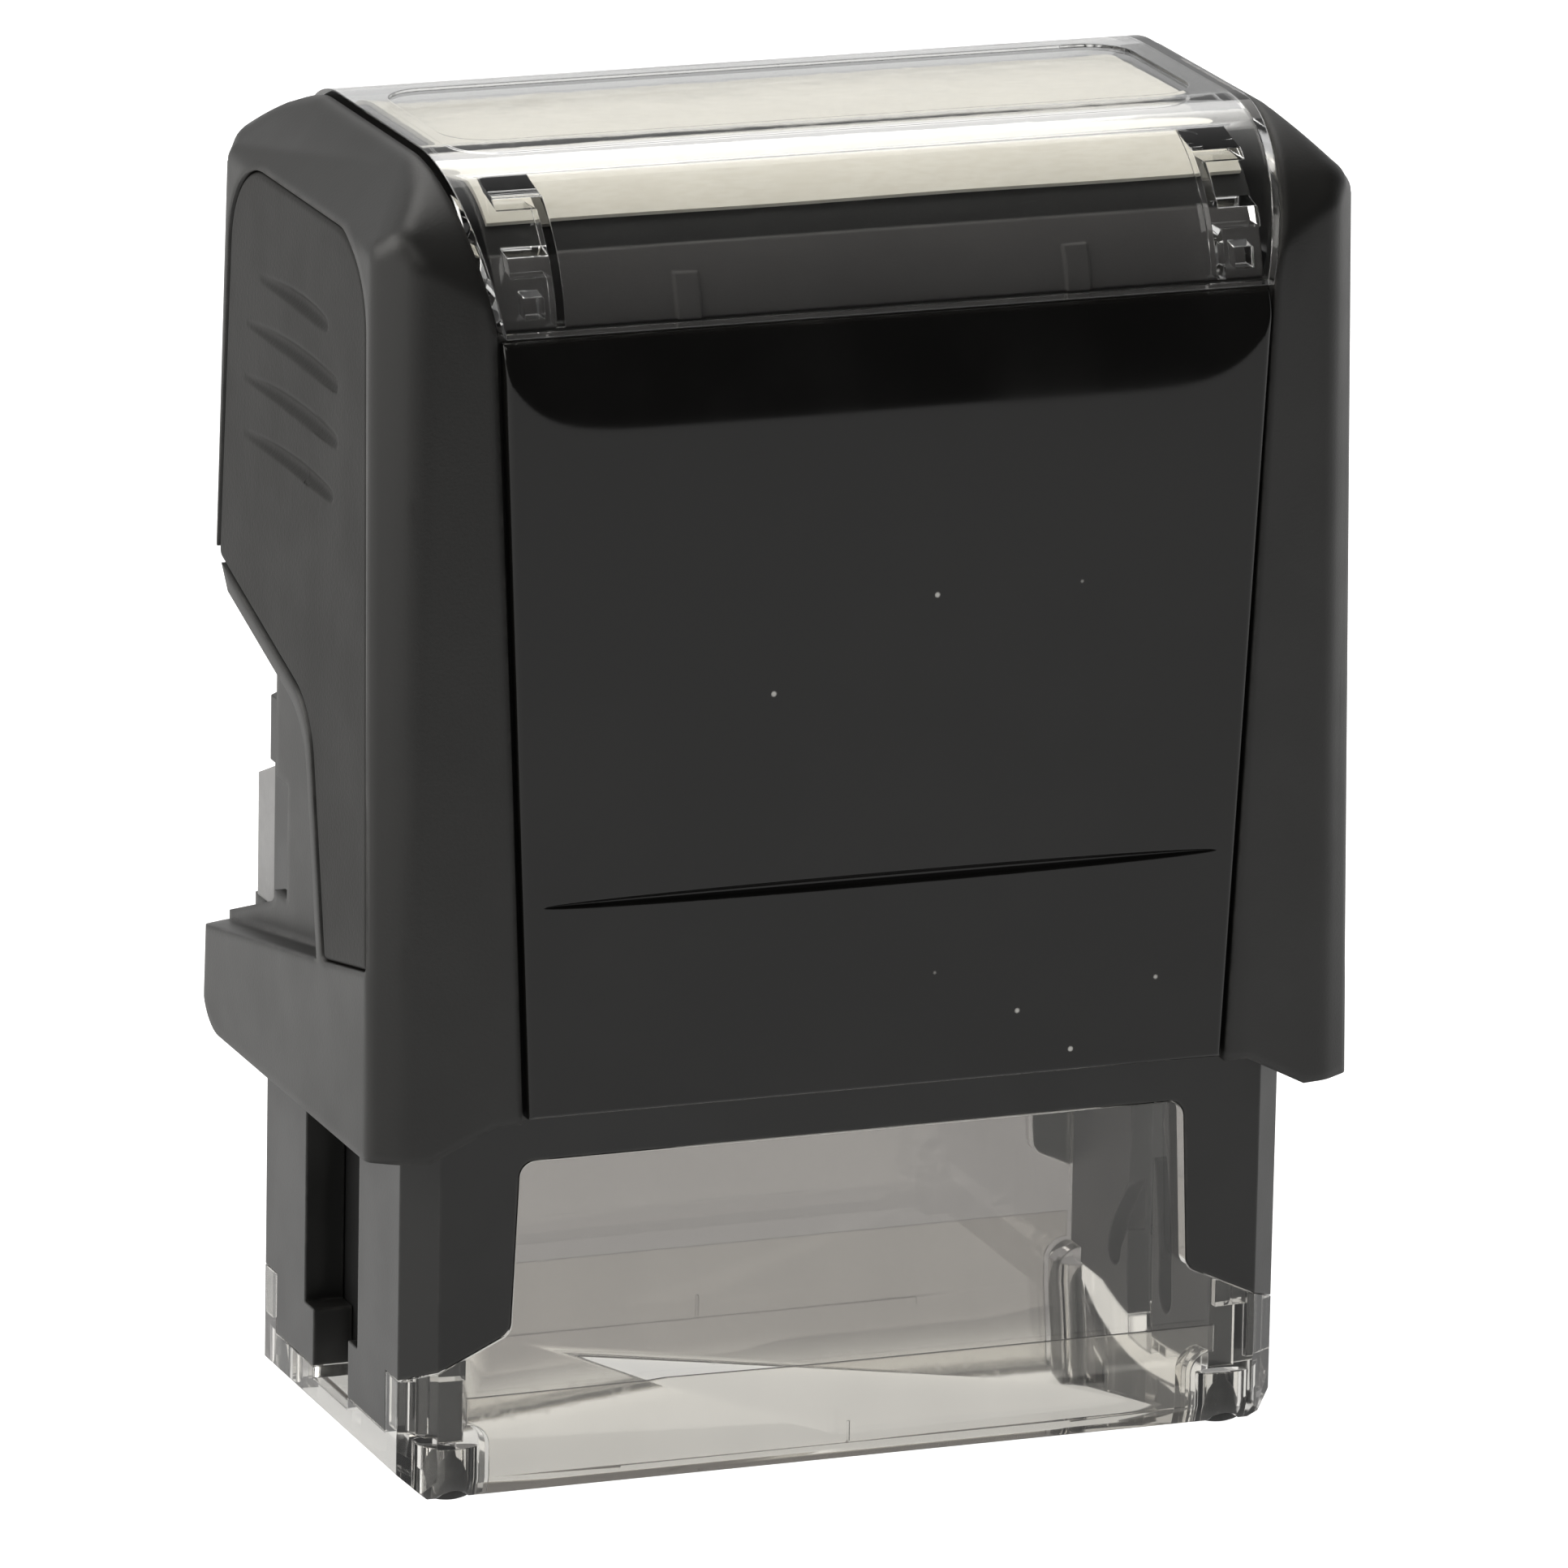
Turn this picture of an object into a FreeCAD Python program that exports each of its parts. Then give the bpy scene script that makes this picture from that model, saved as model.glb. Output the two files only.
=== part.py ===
"""Self-inking stamp for a 38 x 14 mm text plate, as an assembly of separate parts.

Millimetres. +Z is up, X runs across the width, and the front faces -Y. The origin is on the
table, under the middle of the stamp. The model is at rest: the cap is up, and the die faces
up against the ink pad. Pressing the cap carries the die down while it turns over.
"""
import FreeCAD, Part
import math
import os
from FreeCAD import Vector

# ---- text plate, and the die that carries it -------------------------------------------
PLATE_LENGTH = 38.0        # printed area, along X
PLATE_DEPTH = 14.0         # printed area, along Y
PLATE_SHEET = 1.2          # rubber sheet behind the relief
PLATE_RELIEF = 0.8         # height of the raised print
RELIEF_BORDER = 0.7        # line width of the raised frame
RELIEF_MARGIN = 0.8        # from the plate's edge to the raised frame
RELIEF_BARS = 3            # raised bars inside the frame
RELIEF_STEP = 2.5          # each bar is this much shorter at each end than the one before
CUSHION = 0.6              # foam under the text plate
HOLDER_PLATE = 1.3         # thickness of the holder's plate
HOLDER_MARGIN = 0.4        # holder's plate beyond the text plate, along Y
CHEEK = 2.1                # thickness of the holder's end cheeks
CHEEK_GAP = 0.2            # from the text plate to a cheek
CHEEK_HALF_HEIGHT = 2.6
CHEEK_TAIL = 1.3           # cheek beyond the turning lug
CHEEK_ROUND = 2.34
RIB = 1.0                  # stiffening ribs behind the holder's plate
RIB_COUNT = 4
AXLE_RADIUS = 1.5
AXLE_COVER = 0.2           # holder between the axle and its plate
AXLE_INSET = 1.7           # depth of the axle's hole in a cheek
LUG_RADIUS = 0.75          # lugs that turn the die over
LUG_REACH = 3.7            # from the axle to a lug
LUG_DEPTH = 0.8            # how far a lug enters its track

# ---- travel and clearances -------------------------------------------------------------
STROKE = 18.5              # how far the cap goes down
TABLE_GAP = 0.1            # print to table at the end of the stroke
PAD_GAP = 0.3              # print to ink pad at rest
CAP_TABLE_GAP = 1.6        # cap to table at the end of the stroke
RUN_GAP = 0.05             # running fit of the axle in the arm
SLIDE_GAP = 0.25           # between parts that slide past each other
SEAT_GAP = 0.05            # between parts that are fitted together
OVER = 1.0                 # how far a cutting body reaches past what it cuts
CROSS = 0.1                # how far two bodies cross before they are joined
SWING_GAP = 1.2            # round the die as it turns over
LUG_GAP = 0.15             # a lug in its track

# ---- base ------------------------------------------------------------------------------
GUIDE = 1.4                # thickness of the guide plates
TRACK_DEPTH = 1.0          # depth of the turning tracks in a guide plate
TRACK_STEPS = 24           # points that the track's curve passes through
LEDGE = 1.1                # ledge that the cartridge runs on, along X
LEDGE_HEIGHT = 0.95
TONGUE = 0.9               # clear wall behind the frame
TONGUE_OVERLAP = 1.2       # clear wall above the portal
FRAME_WALL = 1.5
DECK = 1.4                 # top of the frame
CORNER_CUT = 1.7           # chamfer on the upright corners
FRAME_FOOT_Z = 3.4         # underside of the frame's sides
FRAME_FOOT_HALF_Y = 9.0    # half length of that underside
FRAME_CORNER_Z = 6.8       # underside of the frame at its corners
PORTAL_MARGIN = 0.1        # opening in the frame's front and back, beyond the text plate
PORTAL_FLARE = 0.4         # how much wider it is at the knee
PORTAL_TOP_Z = 19.0
PORTAL_KNEE_Z = 9.5
PORTAL_ROUND = 0.9
POST_RADIUS = 3.6          # post that centres the return spring
POST_HEIGHT = 4.0
SLOT_STEP_Z = 6.6          # where the arm's slot becomes narrow
FOOT_LIFT = 0.2            # clear foot above the table, on its rubber feet
FOOT_WALL = 1.4
FOOT_BEVEL_X = 1.5
FOOT_BEVEL_Y = 1.0
FOOT_BEVEL_Z = 1.3
PLUG_OUT = 0.5             # plugs under the frame's corners, outside the guide plates
PLUG_WIDTH = 0.8
PLUG_IN_Y = 10.3
PLUG_DEPTH = 1.1
PLUG_LOW_Z = 3.9
BOSS_HALF_X = 2.0          # boss round a rubber foot
BOSS_HALF_Y = 1.9
BOSS_SIDE_X = 0.95         # from the base's side to the boss
BOSS_SIDE_Y = 0.3
BOSS_HEIGHT = 4.3
BOSS_ROUND = 1.2
RUBBER_RADIUS = 1.5
RUBBER_HEIGHT = 3.1
CHANNEL_FLOOR_Z = 2.7      # floor of the arm's channel in the clear foot
MARK_WIDTH = 0.16          # centre mark on the clear foot
MARK_DEPTH = 0.15
MARK_TOP_Z = 2.6
RELIEF_HALF_X = 13.0       # shallow recess along the foot's bottom edge
RELIEF_Z = 1.3
RELIEF_DEPTH = 0.3

# ---- ink cartridge ---------------------------------------------------------------------
CARTRIDGE_HEIGHT = 6.7
CARTRIDGE_WALL = 1.2
PAD_THICKNESS = 3.9
PAD_MARGIN = 0.9           # pad beyond the text plate, along X
PAD_MARGIN_Y = 2.2         # pad beyond the text plate, along Y
HANDLE_DEPTH = 1.5         # handle behind the frame
HANDLE_BELOW = 3.0         # handle's lower edge, under the pad's face
HANDLE_TOP_DROP = 1.6      # handle's upper edge, under the top of the tray
HANDLE_INSET = 0.25        # handle inside the frame's width
HANDLE_WING_Y = 10.4       # front edge of the wings round the frame's rear corners
HANDLE_CUT = 1.9           # height of the bevel along the handle's upper edge
HANDLE_CUT_RUN = 3.8       # and how far it runs in
HANDLE_CORNER = 0.8
HANDLE_DISH = 9.0          # radius of the hollow along the handle's back
HANDLE_DISH_DEPTH = 0.5
BAY_GAP = 0.9              # above the cartridge, under the deck

# ---- cap -------------------------------------------------------------------------------
ARM = 1.7                  # thickness of the yoke's arms
ARM_HALF_Y = 4.1
ARM_END_RADIUS = 2.6
ARM_TIP_ROUND = 1.82
ARM_TAPER = 6.0            # height over which an arm narrows to its end
ARM_COVER = 0.3            # arm inside the frame's face
BEAM = 1.8                 # thickness of the yoke's cross beam
BEAM_HALF_Y = 5.5
SPRING_SOLID = 10.6        # room left for the spring at full stroke
SPRING_RADIUS = 4.9        # mean radius of the coil
SPRING_WIRE = 0.45         # radius of the wire
SPRING_TURNS = 8
SPRING_CUP_HEIGHT = 2.5
CAP_SIDE_GAP = 0.35        # cap to frame, along X
CAP_FRONT_GAP = 0.5        # cap to frame, along Y
SIDE_WALL = 1.45           # cap wall behind a grip
FRONT_WALL = 1.75          # cap wall behind a panel
GRIP = 1.1                 # thickness of the side grips
PANEL = 1.1                # thickness of the gloss panels
CAP_DRAFT = 0.4            # the cap is this much narrower at the top, per side
CORNER_INSET = 2.3         # front face of the panel to the cap's side corner
CORNER_TAPER = 1.9         # how far that corner leans in by the top
CHEST_INSET_X = 1.7        # where the column's front face starts, from the side
CHEST_INSET_Y = 1.2
CHEST_TAPER = 0.76         # how far that edge leans in by the top
CORNER_ROUND = 0.9
CHEST_ROUND = 2.2
ARCH_RISE = 1.9            # cap's lower edge is higher between the columns
ARCH_FOOT = 3.1            # width of a column's foot, from the cap's side
ARCH_SLOPE = 3.6
TOP_ROUND = 9.7            # front and back edges of the top, in side view
SHOULDER_DROP = 3.8
SHOULDER_RUN = 3.6
SHOULDER_ROUND = 1.6
SHOULDER_EASE = 4.0        # the sides start to lean in this far below the grip's top
SHOULDER_BLEND = 1.5       # rounding of the creases between a shoulder and its column
CREASE_FROM = 0.1          # creases turn by more than this and less than that, in radians
CREASE_TO = 1.4
COLUMN_BELOW_WINDOW = 0.3
TRAY = 1.2                 # card tray
TRAY_ABOVE_BEAM = 0.2
CARD = 0.3
CARD_DROP = 3.5            # from the top down to the card's front and back edges
CARD_ROOM = 0.7
WINDOW = 1.3               # thickness of the clear window
WINDOW_SIDE = 4.65         # from the cap's side to the window, at the top
WINDOW_NARROWING = 1.7     # narrower at its lower edge, per side
WINDOW_DROP = 8.4          # from the top down to the window's lower edge
WINDOW_GAP = 0.15
WINDOW_RAIL = 2.2          # rail round the window's sunken top, at each side
WELL_HALF_Y = 6.2          # half depth of that sunken top, along Y
WELL_DEPTH = 0.18
WELL_ROUND = 2.5
TRAY_STRIP = 3.5           # height of the thicker strip along the tray's front edge
TRAY_STRIP_PROUD = 0.15
TRAY_RIB_X = 11.0          # two ribs on that strip
TRAY_RIB_HEIGHT = 2.3
TRAY_RIB_WIDTH = 1.4
TRAY_RIB_PROUD = 0.35
SLIT = 0.5                 # slits round the window's spring tabs
SLIT_SIDE = 5.1            # from the window's side to an upright slit
TAB_TOP_DROP = 1.8         # tab's top edge, from the window's top
TAB_HEIGHT = 2.6
CLIP_HEIGHT = 3.0          # clip under each tab
CLIP_HOLE = 1.1
RECESS_WALL = 0.6          # cap wall behind a finger recess
RECESS_LIP = 0.8           # cap between a grip and its finger recess
RECESS_FRONT_Y = -8.0      # line along the recess's floor: front end, then back end
RECESS_FRONT_Z = 29.4
RECESS_BACK_Z = 24.9
RECESS_ABOVE = 0.5         # recess above the grip's rear corner
NOTCH_Y = 7.2              # side opening behind the recess: front edge and heights
NOTCH_LOW_Z = 28.6
NOTCH_TOP_Z = 41.5
NOTCH_ROUND = 0.9
SLOT_Y = 5.2               # the opening reaches further forward beside the cartridge
SLOT_LOW_Z = 29.2
SLOT_TOP_Z = 35.6
HEEL_ROUND = 3.0           # lower rear corner of the cap's sides
REAR_SILL_Z = 26.8         # top of the cap's rear apron
REAR_HEAD_GAP = 0.9        # rear opening above the cartridge at full stroke
REAR_RAIL = 0.8            # cap between the rear opening and the rear panel
GRIP_FRONT_Y = 13.0        # grip's lower front corner
GRIP_LOW_Z = 30.4
GRIP_HEEL_Y = 6.1          # grip's lower rear corner
GRIP_HEEL_Z = 29.1
GRIP_TOP_BELOW = 4.1       # grip's top edge below the window's top
GRIP_TOP_HALF_Y = 10.9
GRIP_TOP_ROUND = 5.0
GRIP_HEEL_ROUND = 0.4
GRIP_BACK_ROUND = 0.6
GRIP_BACK_Y = 12.2         # rear corner of the grip, over the finger opening
GRIP_BACK_Z = 46.8
GRIP_WAIST_Y = -3.2        # where the grip's lower edge turns down
GRIP_WAIST_Z = 42.2
GRIP_WAIST_ROUND = 4.5
GROOVES = 4                # level finger grooves in a grip, counted from the top
GROOVE_PITCH = 3.0
GROOVE_BEND = 66.0         # the groove is a slim ring segment of this radius
GROOVE_RADIUS = 0.5
GROOVE_DEPTH = 0.4
GROOVE_TOP_Z = 63.6
GROOVE_Y = 0.8             # middle of the grooves
PANEL_SIDE_TOP = 6.45      # from the cap's side to a panel, at its top and at its foot
PANEL_SIDE_LOW = 8.35
PANEL_GAP = 0.3            # gap round a panel
PANEL_BEND_DROP = 4.6      # the panel leans back over this height
PANEL_BEND = 0.45
LOCK_HALF_X = 4.2          # lock button in the rear wall
LOCK_HALF_Z = 1.5
LOCK_SINK = 0.3            # button's face inside the cap's face
LOCK_FLANGE = 0.7          # flange inside the wall, beyond the button
LOCK_FLANGE_DEPTH = 0.6
LOCK_ROUND = 1.2
LOCK_DISH = 0.35
LOCK_DISH_RADIUS = 12.6
CREASE_Z = 34.0            # long slim groove in the front panel
CREASE_SIDE = 0.6          # from the panel's foot to the groove's end
CREASE_HEIGHT = 0.75
CREASE_DEPTH = 0.4

# ---- heights worked out from those -----------------------------------------------------
HOLDER_RISE = AXLE_RADIUS + AXLE_COVER
DIE_SEAT = HOLDER_RISE + HOLDER_PLATE
DIE_FACE = DIE_SEAT + CUSHION + PLATE_SHEET + PLATE_RELIEF
AXLE_LOW_Z = TABLE_GAP + DIE_FACE
AXLE_Z = AXLE_LOW_Z + STROKE
PAD_Z = AXLE_Z + DIE_FACE + PAD_GAP
TRAY_RUN_Z = PAD_Z - SEAT_GAP
CARTRIDGE_TOP_Z = PAD_Z + CARTRIDGE_HEIGHT
DECK_Z = CARTRIDGE_TOP_Z + BAY_GAP
FRAME_TOP_Z = DECK_Z + DECK
CAP_LOW_Z = CAP_TABLE_GAP + STROKE
BEAM_Z = FRAME_TOP_Z + STROKE + SPRING_SOLID
CARD_TRAY_Z = BEAM_Z + BEAM + TRAY_ABOVE_BEAM
WINDOW_UNDER_Z = CARD_TRAY_Z + TRAY + CARD_ROOM
TOP_Z = WINDOW_UNDER_Z + WINDOW
COLUMN_TOP_Z = TOP_Z - COLUMN_BELOW_WINDOW
WINDOW_LOW_Z = TOP_Z - WINDOW_DROP
PANEL_TOP_Z = WINDOW_LOW_Z - PANEL_GAP
PANEL_LOW_Z = CAP_LOW_Z + ARCH_RISE + PANEL_GAP
REAR_HEAD_Z = CARTRIDGE_TOP_Z + REAR_HEAD_GAP + STROKE
HANDLE_LOW_Z = PAD_Z - HANDLE_BELOW
HANDLE_TOP_Z = CARTRIDGE_TOP_Z - HANDLE_TOP_DROP
LOCK_Z = FRAME_TOP_Z + STROKE + SLIDE_GAP + LOCK_FLANGE + LOCK_HALF_Z
REAR_PANEL_Z = REAR_HEAD_Z + REAR_RAIL
GRIP_TOP_Z = TOP_Z - GRIP_TOP_BELOW
TURN_PER_MM = math.pi / STROKE

# ---- widths and depths worked out from those -------------------------------------------
PORTAL_HALF_X = PLATE_LENGTH / 2 + PORTAL_MARGIN
CHEEK_IN_X = PLATE_LENGTH / 2 + CHEEK_GAP
CHEEK_OUT_X = CHEEK_IN_X + CHEEK
GUIDE_IN_X = CHEEK_OUT_X + SLIDE_GAP + SEAT_GAP
GUIDE_OUT_X = GUIDE_IN_X + GUIDE
ARM_IN_X = GUIDE_OUT_X + SLIDE_GAP
ARM_OUT_X = ARM_IN_X + ARM
BASE_X = ARM_OUT_X + ARM_COVER
CAVITY_X = BASE_X + CAP_SIDE_GAP
RECESS_X = CAVITY_X + RECESS_WALL
GRIP_IN_X = CAVITY_X + SIDE_WALL
CAP_X = GRIP_IN_X + GRIP
WINDOW_HALF_X = CAP_X - WINDOW_SIDE
SLIT_X = WINDOW_HALF_X - SLIT_SIDE
PANEL_HALF_TOP = CAP_X - PANEL_SIDE_TOP
PANEL_HALF_LOW = CAP_X - PANEL_SIDE_LOW
CREASE_HALF_X = PANEL_HALF_LOW - CREASE_SIDE
HOLDER_Y = PLATE_DEPTH / 2 + HOLDER_MARGIN
SWING = math.hypot(PLATE_DEPTH / 2, DIE_FACE)
TONGUE_IN_Y = SWING + SWING_GAP
FRAME_IN_Y = TONGUE_IN_Y + TONGUE + SEAT_GAP
BASE_Y = FRAME_IN_Y + FRAME_WALL
CAVITY_Y = BASE_Y + CAP_FRONT_GAP
PANEL_IN_Y = CAVITY_Y + FRONT_WALL
CAP_Y = PANEL_IN_Y + SEAT_GAP + PANEL
LOCK_IN_Y = CAVITY_Y - LOCK_FLANGE_DEPTH - SEAT_GAP
RUBBER_X = BASE_X - BOSS_HALF_X - BOSS_SIDE_X
RUBBER_Y = BASE_Y - BOSS_HALF_Y - BOSS_SIDE_Y


def box(x0, x1, y0, y1, z0, z1):
    """A block between two corners."""
    return Part.makeBox(x1 - x0, y1 - y0, z1 - z0, Vector(x0, y0, z0))


def outline(points, radii=None):
    """A closed wire in the XY plane whose corners are arcs of the given radii."""
    count = len(points)
    radii = radii or [0] * count
    corners = [Vector(x, y, 0) for x, y in points]
    starts, ends, middles = [], [], []
    for i, corner in enumerate(corners):
        before = (corners[i - 1] - corner).normalize()
        after = (corners[(i + 1) % count] - corner).normalize()
        half = before.getAngle(after) / 2
        reach = radii[i] / math.tan(half)
        starts.append(corner + before * reach)
        ends.append(corner + after * reach)
        inward = (before + after).normalize() if radii[i] else Vector(0, 0, 0)
        middles.append(corner + inward * (radii[i] / math.sin(half) - radii[i]))
    edges = []
    for i in range(count):
        if radii[i]:
            edges.append(Part.Arc(starts[i], middles[i], ends[i]).toShape())
        follower = starts[(i + 1) % count]
        if ends[i].distanceToPoint(follower) > 1e-6:
            edges.append(Part.LineSegment(ends[i], follower).toShape())
    return Part.Wire(edges)


def laid(shape, plane):
    """Turns a shape drawn in XY into the plane named by its two axes."""
    turned = shape.copy()
    if plane == "XZ":
        turned.rotate(Vector(0, 0, 0), Vector(1, 0, 0), 90)
    if plane == "YZ":
        turned.rotate(Vector(0, 0, 0), Vector(1, 1, 1), 120)
    return turned


def prism(points, low, high, plane, radii=None):
    """An outline in a plane, carried along the third axis from low to high."""
    face = laid(Part.Face(outline(points, radii)), plane)
    way = {"XY": Vector(0, 0, 1), "XZ": Vector(0, 1, 0), "YZ": Vector(1, 0, 0)}[plane]
    face.translate(way * low)
    return face.extrude(way * (high - low))


def rod(radius, x0, x1, y, z):
    """A round bar along X."""
    return Part.makeCylinder(radius, x1 - x0, Vector(x0, y, z), Vector(1, 0, 0))


def fuse(shapes):
    """One solid from several that touch or cross."""
    return shapes[0].fuse(shapes[1:]).removeSplitter()


def mirrored(shape, axis="X"):
    """The same shape on the other side of the stamp."""
    normal = Vector(1, 0, 0) if axis == "X" else Vector(0, 1, 0)
    return shape.mirror(Vector(0, 0, 0), normal)


def both(shape, axis="X"):
    """A shape and its mirror image."""
    return [shape, mirrored(shape, axis)]


def symmetric(points):
    """An outline from its right half, listed from bottom to top."""
    return points + [(-x, y) for x, y in reversed(points)]


def base_plan(z0, z1, grow=0.0):
    """The base's outline with its cut corners, as a solid."""
    x, y, cut = BASE_X + grow, BASE_Y + grow, CORNER_CUT
    half = [(x - cut, -y), (x, cut - y), (x, y - cut), (x - cut, y)]
    return prism(symmetric(half), z0, z1, "XY")


def portal(low, high, inset=0.0):
    """The opening in the frame's front, as a solid from y low to high."""
    top = PORTAL_HALF_X - inset
    knee = top + PORTAL_FLARE
    edge = BASE_X + OVER
    slope = (PORTAL_KNEE_Z - FRAME_CORNER_Z) / (BASE_X - PORTAL_HALF_X - PORTAL_FLARE)
    half = [
        (edge, -OVER),
        (edge, PORTAL_KNEE_Z - slope * (edge - PORTAL_HALF_X - PORTAL_FLARE) - inset),
        (knee, PORTAL_KNEE_Z - inset),
        (top, PORTAL_TOP_Z - inset),
    ]
    radii = [0, 0, PORTAL_ROUND, PORTAL_ROUND]
    return prism(symmetric(half), low, high, "XZ", radii + radii[::-1])


def arm_slot(z0, z1, half_y):
    """Room for an arm of the yoke in the right side."""
    return box(GUIDE_OUT_X, BASE_X + OVER, -half_y, half_y, z0, z1)


def base_frame():
    """Black frame: sides with slots for the arms, portals, a deck and the spring's post."""
    solid = base_plan(FRAME_FOOT_Z, FRAME_TOP_Z)
    inside = box(-GUIDE_OUT_X, GUIDE_OUT_X, -FRAME_IN_Y, FRAME_IN_Y, 0, DECK_Z)
    corner = box(-BASE_X - OVER, BASE_X + OVER, FRAME_FOOT_HALF_Y, BASE_Y + OVER, 0, FRAME_CORNER_Z)
    front = portal(-BASE_Y - OVER, -FRAME_IN_Y + OVER)
    wide = arm_slot(SLOT_STEP_Z, FRAME_TOP_Z + OVER, ARM_HALF_Y + SLIDE_GAP)
    narrow = arm_slot(0, SLOT_STEP_Z, ARM_END_RADIUS + SLIDE_GAP)
    top = CARTRIDGE_TOP_Z + SLIDE_GAP
    bay = box(-GUIDE_IN_X, GUIDE_IN_X, FRAME_IN_Y - OVER, BASE_Y + OVER, TRAY_RUN_Z, top)
    handle = box(
        -BASE_X - OVER, BASE_X + OVER, HANDLE_WING_Y - SLIDE_GAP, BASE_Y + OVER,
        HANDLE_LOW_Z - SLIDE_GAP, HANDLE_TOP_Z + SLIDE_GAP)
    cuts = [inside, bay, handle]
    cuts += [*both(corner, "Y"), *both(front, "Y"), *both(wide), *both(narrow)]
    post = Part.makeCylinder(POST_RADIUS, POST_HEIGHT, Vector(0, 0, FRAME_TOP_Z))
    return fuse([solid.cut(cuts), post, *corner_plugs(0)])


def corner_plugs(gap):
    """Four plugs under the frame's corners, grown by a gap to make their sockets."""
    low = GUIDE_OUT_X + PLUG_OUT
    plug = box(
        low - gap, low + PLUG_WIDTH + gap, PLUG_IN_Y - gap,
        PLUG_IN_Y + PLUG_DEPTH + gap, PLUG_LOW_Z - gap, FRAME_CORNER_Z + OVER)
    return [b for a in both(plug) for b in both(a, "Y")]


def track(side, half_width, depth_from, depth_to):
    """A turning track: the path of a lug as the die goes down and over.

    Over the stroke the axle drops evenly while the die makes half a turn, so the lug's
    path is y = side * reach * cos(turn), z = axle - drop + side * reach * sin(turn).
    """
    left, right, ways = [], [], []
    for i in range(TRACK_STEPS + 1):
        turn = math.pi * i / TRACK_STEPS
        y = side * LUG_REACH * math.cos(turn)
        z = AXLE_Z - turn / TURN_PER_MM + side * LUG_REACH * math.sin(turn)
        way = Vector(
            -side * LUG_REACH * math.sin(turn),
            -1 / TURN_PER_MM + side * LUG_REACH * math.cos(turn),
            0,
        ).normalize()
        off = Vector(-way.y, way.x, 0) * half_width
        centre = Vector(y, z, 0)
        left.append(centre + off)
        right.append(centre - off)
        ways.append((centre, way))
    edges = []
    for line in (left, right[::-1]):
        curve = Part.BSplineCurve()
        curve.interpolate(line)
        edges.append(curve.toShape())
    (first, first_way), (last, last_way) = ways[0], ways[-1]
    end = Part.Arc(left[-1], last + last_way * half_width, right[-1]).toShape()
    start = Part.Arc(right[0], first - first_way * half_width, left[0]).toShape()
    face = Part.Face(Part.Wire([edges[0], end, edges[1], start]))
    face = laid(face, "YZ")
    face.translate(Vector(depth_from, 0, 0))
    return face.extrude(Vector(depth_to - depth_from, 0, 0))


def guide_plate():
    """Right guide plate: the axle's slot, two turning tracks and the cartridge's ledge."""
    y = FRAME_IN_Y - SEAT_GAP
    top = DECK_Z - SEAT_GAP
    plate = box(GUIDE_IN_X, GUIDE_OUT_X - SEAT_GAP, -y, y, FRAME_FOOT_Z, top)
    ledge = box(GUIDE_IN_X - LEDGE, GUIDE_IN_X, -y, y, TRAY_RUN_Z - LEDGE_HEIGHT, TRAY_RUN_Z)
    half = AXLE_RADIUS + SLIDE_GAP
    slot = box(GUIDE_IN_X - OVER, GUIDE_OUT_X + OVER, -half, half, 0, AXLE_Z)
    slot_end = rod(half, GUIDE_IN_X - OVER, GUIDE_OUT_X + OVER, 0, AXLE_Z)
    tongue_room = box(
        GUIDE_IN_X - OVER, GUIDE_OUT_X, TONGUE_IN_Y - SEAT_GAP, FRAME_IN_Y + OVER,
        0, PORTAL_TOP_Z + TONGUE_OVERLAP + SEAT_GAP)
    tracks = [
        track(side, LUG_RADIUS + LUG_GAP, GUIDE_IN_X - OVER, GUIDE_IN_X + TRACK_DEPTH)
        for side in (1, -1)
    ]
    return fuse([plate, ledge]).cut([slot, slot_end, *both(tongue_room, "Y"), *tracks])


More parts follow.
